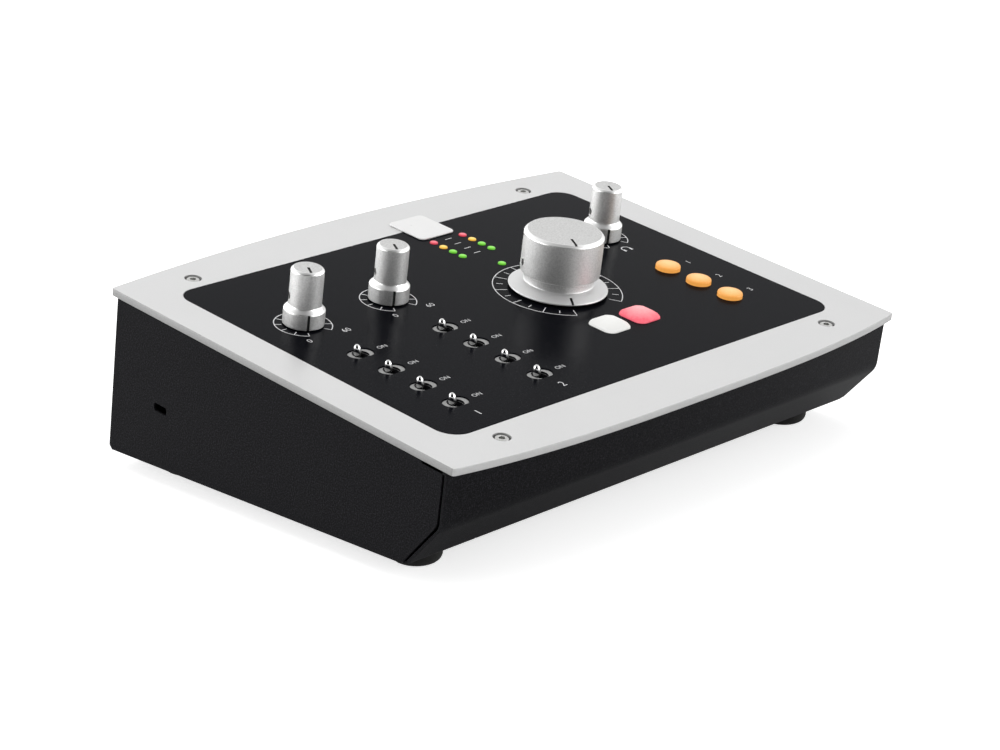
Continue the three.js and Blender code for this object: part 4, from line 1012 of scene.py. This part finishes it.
def turned_knob(name, outline, grooves, columns):
    """A knob: its hollow and outline turned about the shaft. What slopes is bright; a flange takes the
    lighter satin as painted light.
    """
    centre = KNOB_PLACES[name]
    bottom, top = outline[0][1], outline[-1][1]
    hollow = [(0, SHAFT_TOP), (SHAFT_ROOM, SHAFT_TOP), (SHAFT_ROOM, BUSH_TOP), (BUSH_ROOM, BUSH_TOP),
              (BUSH_ROOM, bottom)]
    ease = [0] + [0.1] * 4 + [KNOB_EASE] * len(outline) + [0]
    profile = eased(hollow + outline + [(0, top)], ease, 4)
    step = np.abs(np.diff(profile, axis=0))
    outside = (profile[:-1, 1] > bottom) & (profile[:-1, 0] > BUSH_ROOM + 0.2)
    slopes = (step.min(1) > 0.5 * step.max(1)) & outside
    flange = (profile[:-1, 0] > FLANGE_FROM) & (profile[1:, 1] < BUSH_TOP + SEAT)
    bright = np.repeat(np.where(flange, 3, slopes.astype(int)), columns)
    knob = Blank()
    knob.weave(spun(profile, columns, (*centre, 0)), around=True, finish=bright)
    node = name + "_knob"
    piece = knob.made(name + "_turned_knob", name + "_dial", KNOB_FINISHES, "machined_silver", [node])
    cutters = [groove_cutter(centre, *groove) for groove in grooves]
    cutters.append(grub_cutter(centre, max(r for r, _ in outline) + 1))
    carved(piece, cutters)


for name in ("gain_1", "gain_2", "phones"):
    turned_knob(name, SMALL_OUTLINE, SMALL_GROOVES, 96)
turned_knob("monitor", MONITOR_OUTLINE, MONITOR_GROOVES, 144)


# The turning controls.
# Under each knob a steel shaft with a flat goes down through a threaded bush into a sealed body.
# They are zinc plated, and only the grub screws' sockets show, at the sides of the knobs.

zinc = Finish("zinc_plate", metallic=1.0)
crystals = zinc.node("TexVoronoi", {"feature": "F1"}, {"Vector": zinc.spot(), "Scale": 1 / 2.2})
smear = zinc.noise(0.8, detail=3.0)
zinc.grained(crystals * 0.6 + smear * 0.4, (0.34, 0.34, 0.33), (0.52, 0.52, 0.50))
zinc.set(roughness=smear * 0.2 + 0.3)
zinc.bump(smear, 0.03)
dress(zinc, *[knob + part for knob in KNOB_PLACES for part in ("_shaft", "_control")])
dress(steel, *[knob + "_grub_screw" for knob in KNOB_PLACES])


# The toggle levers.
# Each is turned from brass and chrome plated: a slim stem that swells a little into a long round tip.
# It leans to the left in its slot and swings about a pin in the switch under the plate.

LEVER_PIVOT = -9.0
LEVER_FOOT = 1.6
LEVER_STEM = 1.35
LEVER_SHOULDER = 7.0
LEVER_TIP = 1.6
LEVER_TIP_LENGTH = 2.9
LEVER_TOP = 13.6
LEVER_LEAN = math.radians(11)

chrome = Finish("lever_chrome", metallic=1.0)
chrome.grained(chrome.noise(1.2), 0.60, 0.68, (0.08, 0.06))


def lever_profile():
    """Radius and height over the pivot: a straight stem, a slow swelling and half of a long ellipse."""
    start = LEVER_TOP - LEVER_TIP_LENGTH
    share = np.linspace(0, 1, 6)
    stem = [(0, -LEVER_FOOT), (LEVER_STEM - 0.1, -LEVER_FOOT), (LEVER_STEM, -LEVER_FOOT + 0.1)]
    radius = LEVER_STEM + (LEVER_TIP - LEVER_STEM) * share ** 0.4
    swell = np.column_stack([radius, LEVER_SHOULDER + (start - LEVER_SHOULDER) * share])
    tip = arc((0, 0), 1, 0, 90, 12) * (LEVER_TIP, LEVER_TIP_LENGTH) + (0, start)
    return np.concatenate([stem, swell, tip[1:]])


def leaned(points, u, v):
    """Points about the pivot, turned left about v by the lean and moved to their place."""
    x, y, z = np.moveaxis(points, -1, 0)
    across = x * math.cos(LEVER_LEAN) - z * math.sin(LEVER_LEAN)
    up = x * math.sin(LEVER_LEAN) + z * math.cos(LEVER_LEAN)
    return np.stack([across + u, y + v, up + LEVER_PIVOT], -1)


for column, u in enumerate(TOGGLE_COLUMNS, 1):
    for row, v in enumerate(TOGGLE_ROWS, 1):
        lever = Blank()
        lever.weave(leaned(spun(lever_profile(), 32), u, v), around=True)
        mark = str(column) + "_" + str(row)
        lever.made("lever_" + mark, "toggle_" + mark, [chrome], "lever_chrome", ["toggle_lever_" + mark])


# The lit buttons.
# Two square caps and three round ones are moulded in milky plastic with domed tops, and a lamp under
# each makes it glow, strongest in the middle. A rim under the plate keeps each cap in.

CAP_RIM = [(0, UNDER_PLATE), (0.9, UNDER_PLATE), (0.9, -4.3), (0, -4.3), (0, -10.0)]
SQUARE_EDGE = 0.55
ROUND_EDGE = 0.9
SQUARE_DOME = 12.4
SQUARE_CROWN = 3.3
ROUND_CROWN = 2.6
ROUND_WALL = 1.8


def lit_through(finish, share, edge_colour, middle_colour, darker):
    """Lamp light in a plastic: from the middle's colour to the edge's, over a darker body of the same."""
    colour = finish.blend(share.limited(), middle_colour, edge_colour)
    finish.set(emission_color=colour, base_color=finish.blend(darker, colour, 0))
    return finish


def glowing(name, centre, reach, edge_colour, middle_colour, mottle):
    """A milky cap: its share of the edge's colour is the square of the distance from its centre."""
    cap = Finish(name, roughness=0.4, specular_ior_level=0.25, emission_strength=0.62)
    u, v = cap.on_deck(*centre)[:2]
    out = ((u * u + v * v).maths("SQRT") / reach).limited()
    cloud = cap.noise(1.1, detail=3.0)
    cap.bump(cloud, 0.015)
    return lit_through(cap, out * out + (cloud - 0.5) * mottle, edge_colour, middle_colour, darker=0.55)


def domed_cap(centre, loop, crown, dome, edge):
    """A cap over a loop: the loop shrunk to its middle and lifted on a sphere, then its wall and rim."""
    side = outward(loop)
    inner = loop - side * edge
    rows = []
    for share in np.linspace(0, 1, 13):
        flat = inner * share
        rows.append(np.column_stack([flat, crown - dome + np.sqrt(dome ** 2 - (flat ** 2).sum(1))]))
    shoulder = rows[-1][:, 2]
    for turn in np.radians([30, 60, 90]):
        flat = inner + side * edge * math.sin(turn)
        rows.append(np.column_stack([flat, shoulder - edge * (1 - math.cos(turn))]))
    for out, level in CAP_RIM:
        rows.append(np.column_stack([loop + side * out, np.full(len(loop), level)]))
    rows.append(rows[-1] * (0, 0, 1))
    return np.asarray(rows) + (*centre, 0)


CAP_COLOURS = {
    "lit_white": ((0.83, 0.83, 0.81), (0.87, 0.87, 0.85), 0.2),
    "lit_red": ((0.98, 0.150, 0.205), (1.0, 0.44, 0.46), 0.5),
    "lit_amber": ((0.98, 0.42, 0.085), (1.0, 0.64, 0.27), 0.5),
}


def button(name, place, slot, loop, reach, *shape):
    """One lit cap at its place, ready to be pressed."""
    cap = Blank()
    cap.weave(domed_cap(place, loop, *shape), around=True)
    finish = glowing(name + "_glow", place, reach, *CAP_COLOURS[slot])
    cap.made(name + "_cap", name + "_cap", [finish], slot, [name])


square_loop = rounded(SQUARE_SIDE, SQUARE_SIDE, SQUARE_CORNER, 8)
for (name, place), slot in zip(SQUARE_PLACES.items(), ("lit_white", "lit_red")):
    button(name, place, slot, square_loop, SQUARE_SIDE / 2, SQUARE_CROWN, SQUARE_DOME, SQUARE_EDGE)
rise = ROUND_CROWN - ROUND_WALL
round_dome = (ROUND_RADIUS ** 2 + rise ** 2) / (2 * rise)
round_loop = ring(ROUND_RADIUS, 72)
for name, place in ROUND_PLACES.items():
    button(name, place, "lit_amber", round_loop, ROUND_RADIUS, ROUND_CROWN, round_dome, ROUND_EDGE)


# The meter and the status light.
# Clear tinted lenses with domed tops stand up through the panel from a moulded bar under the plate.
# From the rear they are red, amber and twice green.

LENS_TOP = 0.65
LENS_STRAIGHT = 0.2
LENS_FOOT = -4.3
LENS_BAR = 5.0
BAR_BOTTOM = -5.3


def lamp_lens(name, edge_colour, middle_colour):
    """A tinted lens with its lamp on: its share of the edge's colour grows as the dome falls."""
    tinted = Finish(name, roughness=0.25, specular_ior_level=0.3, emission_strength=0.8)
    low = (tinted.on_deck()[2] / LENS_TOP).below(edge=0.72, softness=0.5)
    share = low + (tinted.noise(0.7) - 0.5) * 0.3
    return lit_through(tinted, share, edge_colour, middle_colour, darker=0.7)


lamp_red = lamp_lens("lens_red", (0.62, 0.050, 0.080), (0.98, 0.165, 0.215))
lamp_amber = lamp_lens("lens_amber", (0.80, 0.42, 0.045), (1.0, 0.72, 0.140))
lamp_green = lamp_lens("lens_green", (0.110, 0.46, 0.022), (0.245, 0.78, 0.065))
milky = Finish("lens_bar", roughness=0.4)
milky.grained(milky.noise(0.8), (0.50, 0.52, 0.48), (0.60, 0.62, 0.58))


def lens_profile():
    """Radius and height: a short straight wall under a quarter of an ellipse."""
    dome = arc((0, 0), 1, 0, 90, 8) * (LENS_RADIUS, LENS_TOP - LENS_STRAIGHT) + (0, LENS_STRAIGHT)
    return np.concatenate([[(0, LENS_FOOT), (LENS_RADIUS, LENS_FOOT)], dome])


def lens_strip(name, node, u, rows, colours):
    """Lenses in a row along v, over the bar that holds them."""
    strip = Blank()
    for v, colour in zip(rows, colours):
        strip.weave(spun(lens_profile(), 40, (u, v, 0)), around=True, finish=colour)
    length = max(rows) - min(rows) + LENS_BAR
    bar = rounded(LENS_BAR, length, 0.4, 4, (u, (max(rows) + min(rows)) / 2))
    edged_sheet(strip, bar, [], UNDER_PLATE, BAR_BOTTOM, 0.15, finish=3)
    strip.made(name, "case", [lamp_red, lamp_amber, lamp_green, milky], "light_lens", [node])


for side, u in METER_COLUMNS.items():
    lens_strip("meter_lamps_" + side, "meter_lens_" + side, u, METER_ROWS, (0, 1, 2, 2))
lens_strip("status_lamp", "status_lens", STATUS_PLACE[0], [STATUS_PLACE[1]], (2,))


# The boards.
# Two glass-fibre boards with a green mask carry the switches above and the sockets below. Plated
# steel spacers hold them apart.

mask = Finish("board_mask", specular_ior_level=0.5)
weave = mask.noise(0.5)
track_share = mask.noise(3.0, detail=1.0).below(0.5, 0.03)
mask.grained(track_share, (0.010, 0.060, 0.024), (0.018, 0.095, 0.040))
mask.set(roughness=weave * 0.15 + 0.3)
mask.bump(track_share * 0.7 + weave * 0.3, 0.05)
dress(mask, "control_board", "main_board")
dress(zinc, *["board_spacer_" + corner for corner in SCREW_PLACES], "usb_socket")


# The sockets at the back.
# Two input sockets, a block of four line jacks, a headphone jack, two optical ports, a power inlet
# and a rocker switch are moulded in black plastic and fixed behind the rear panel.

moulded = Finish("moulded_black", specular_ior_level=0.45)
skin = moulded.noise(0.7, detail=3.0, roughness=0.6)
moulded.grained(skin, (0.010, 0.010, 0.011), (0.020, 0.020, 0.021), (0.36, 0.2), 0.05)
dress(moulded, "input_socket_1", "input_socket_2", "line_jack_block", "phones_jack", "optical_socket_block",
      "power_inlet", "power_switch_housing", "power_rocker")
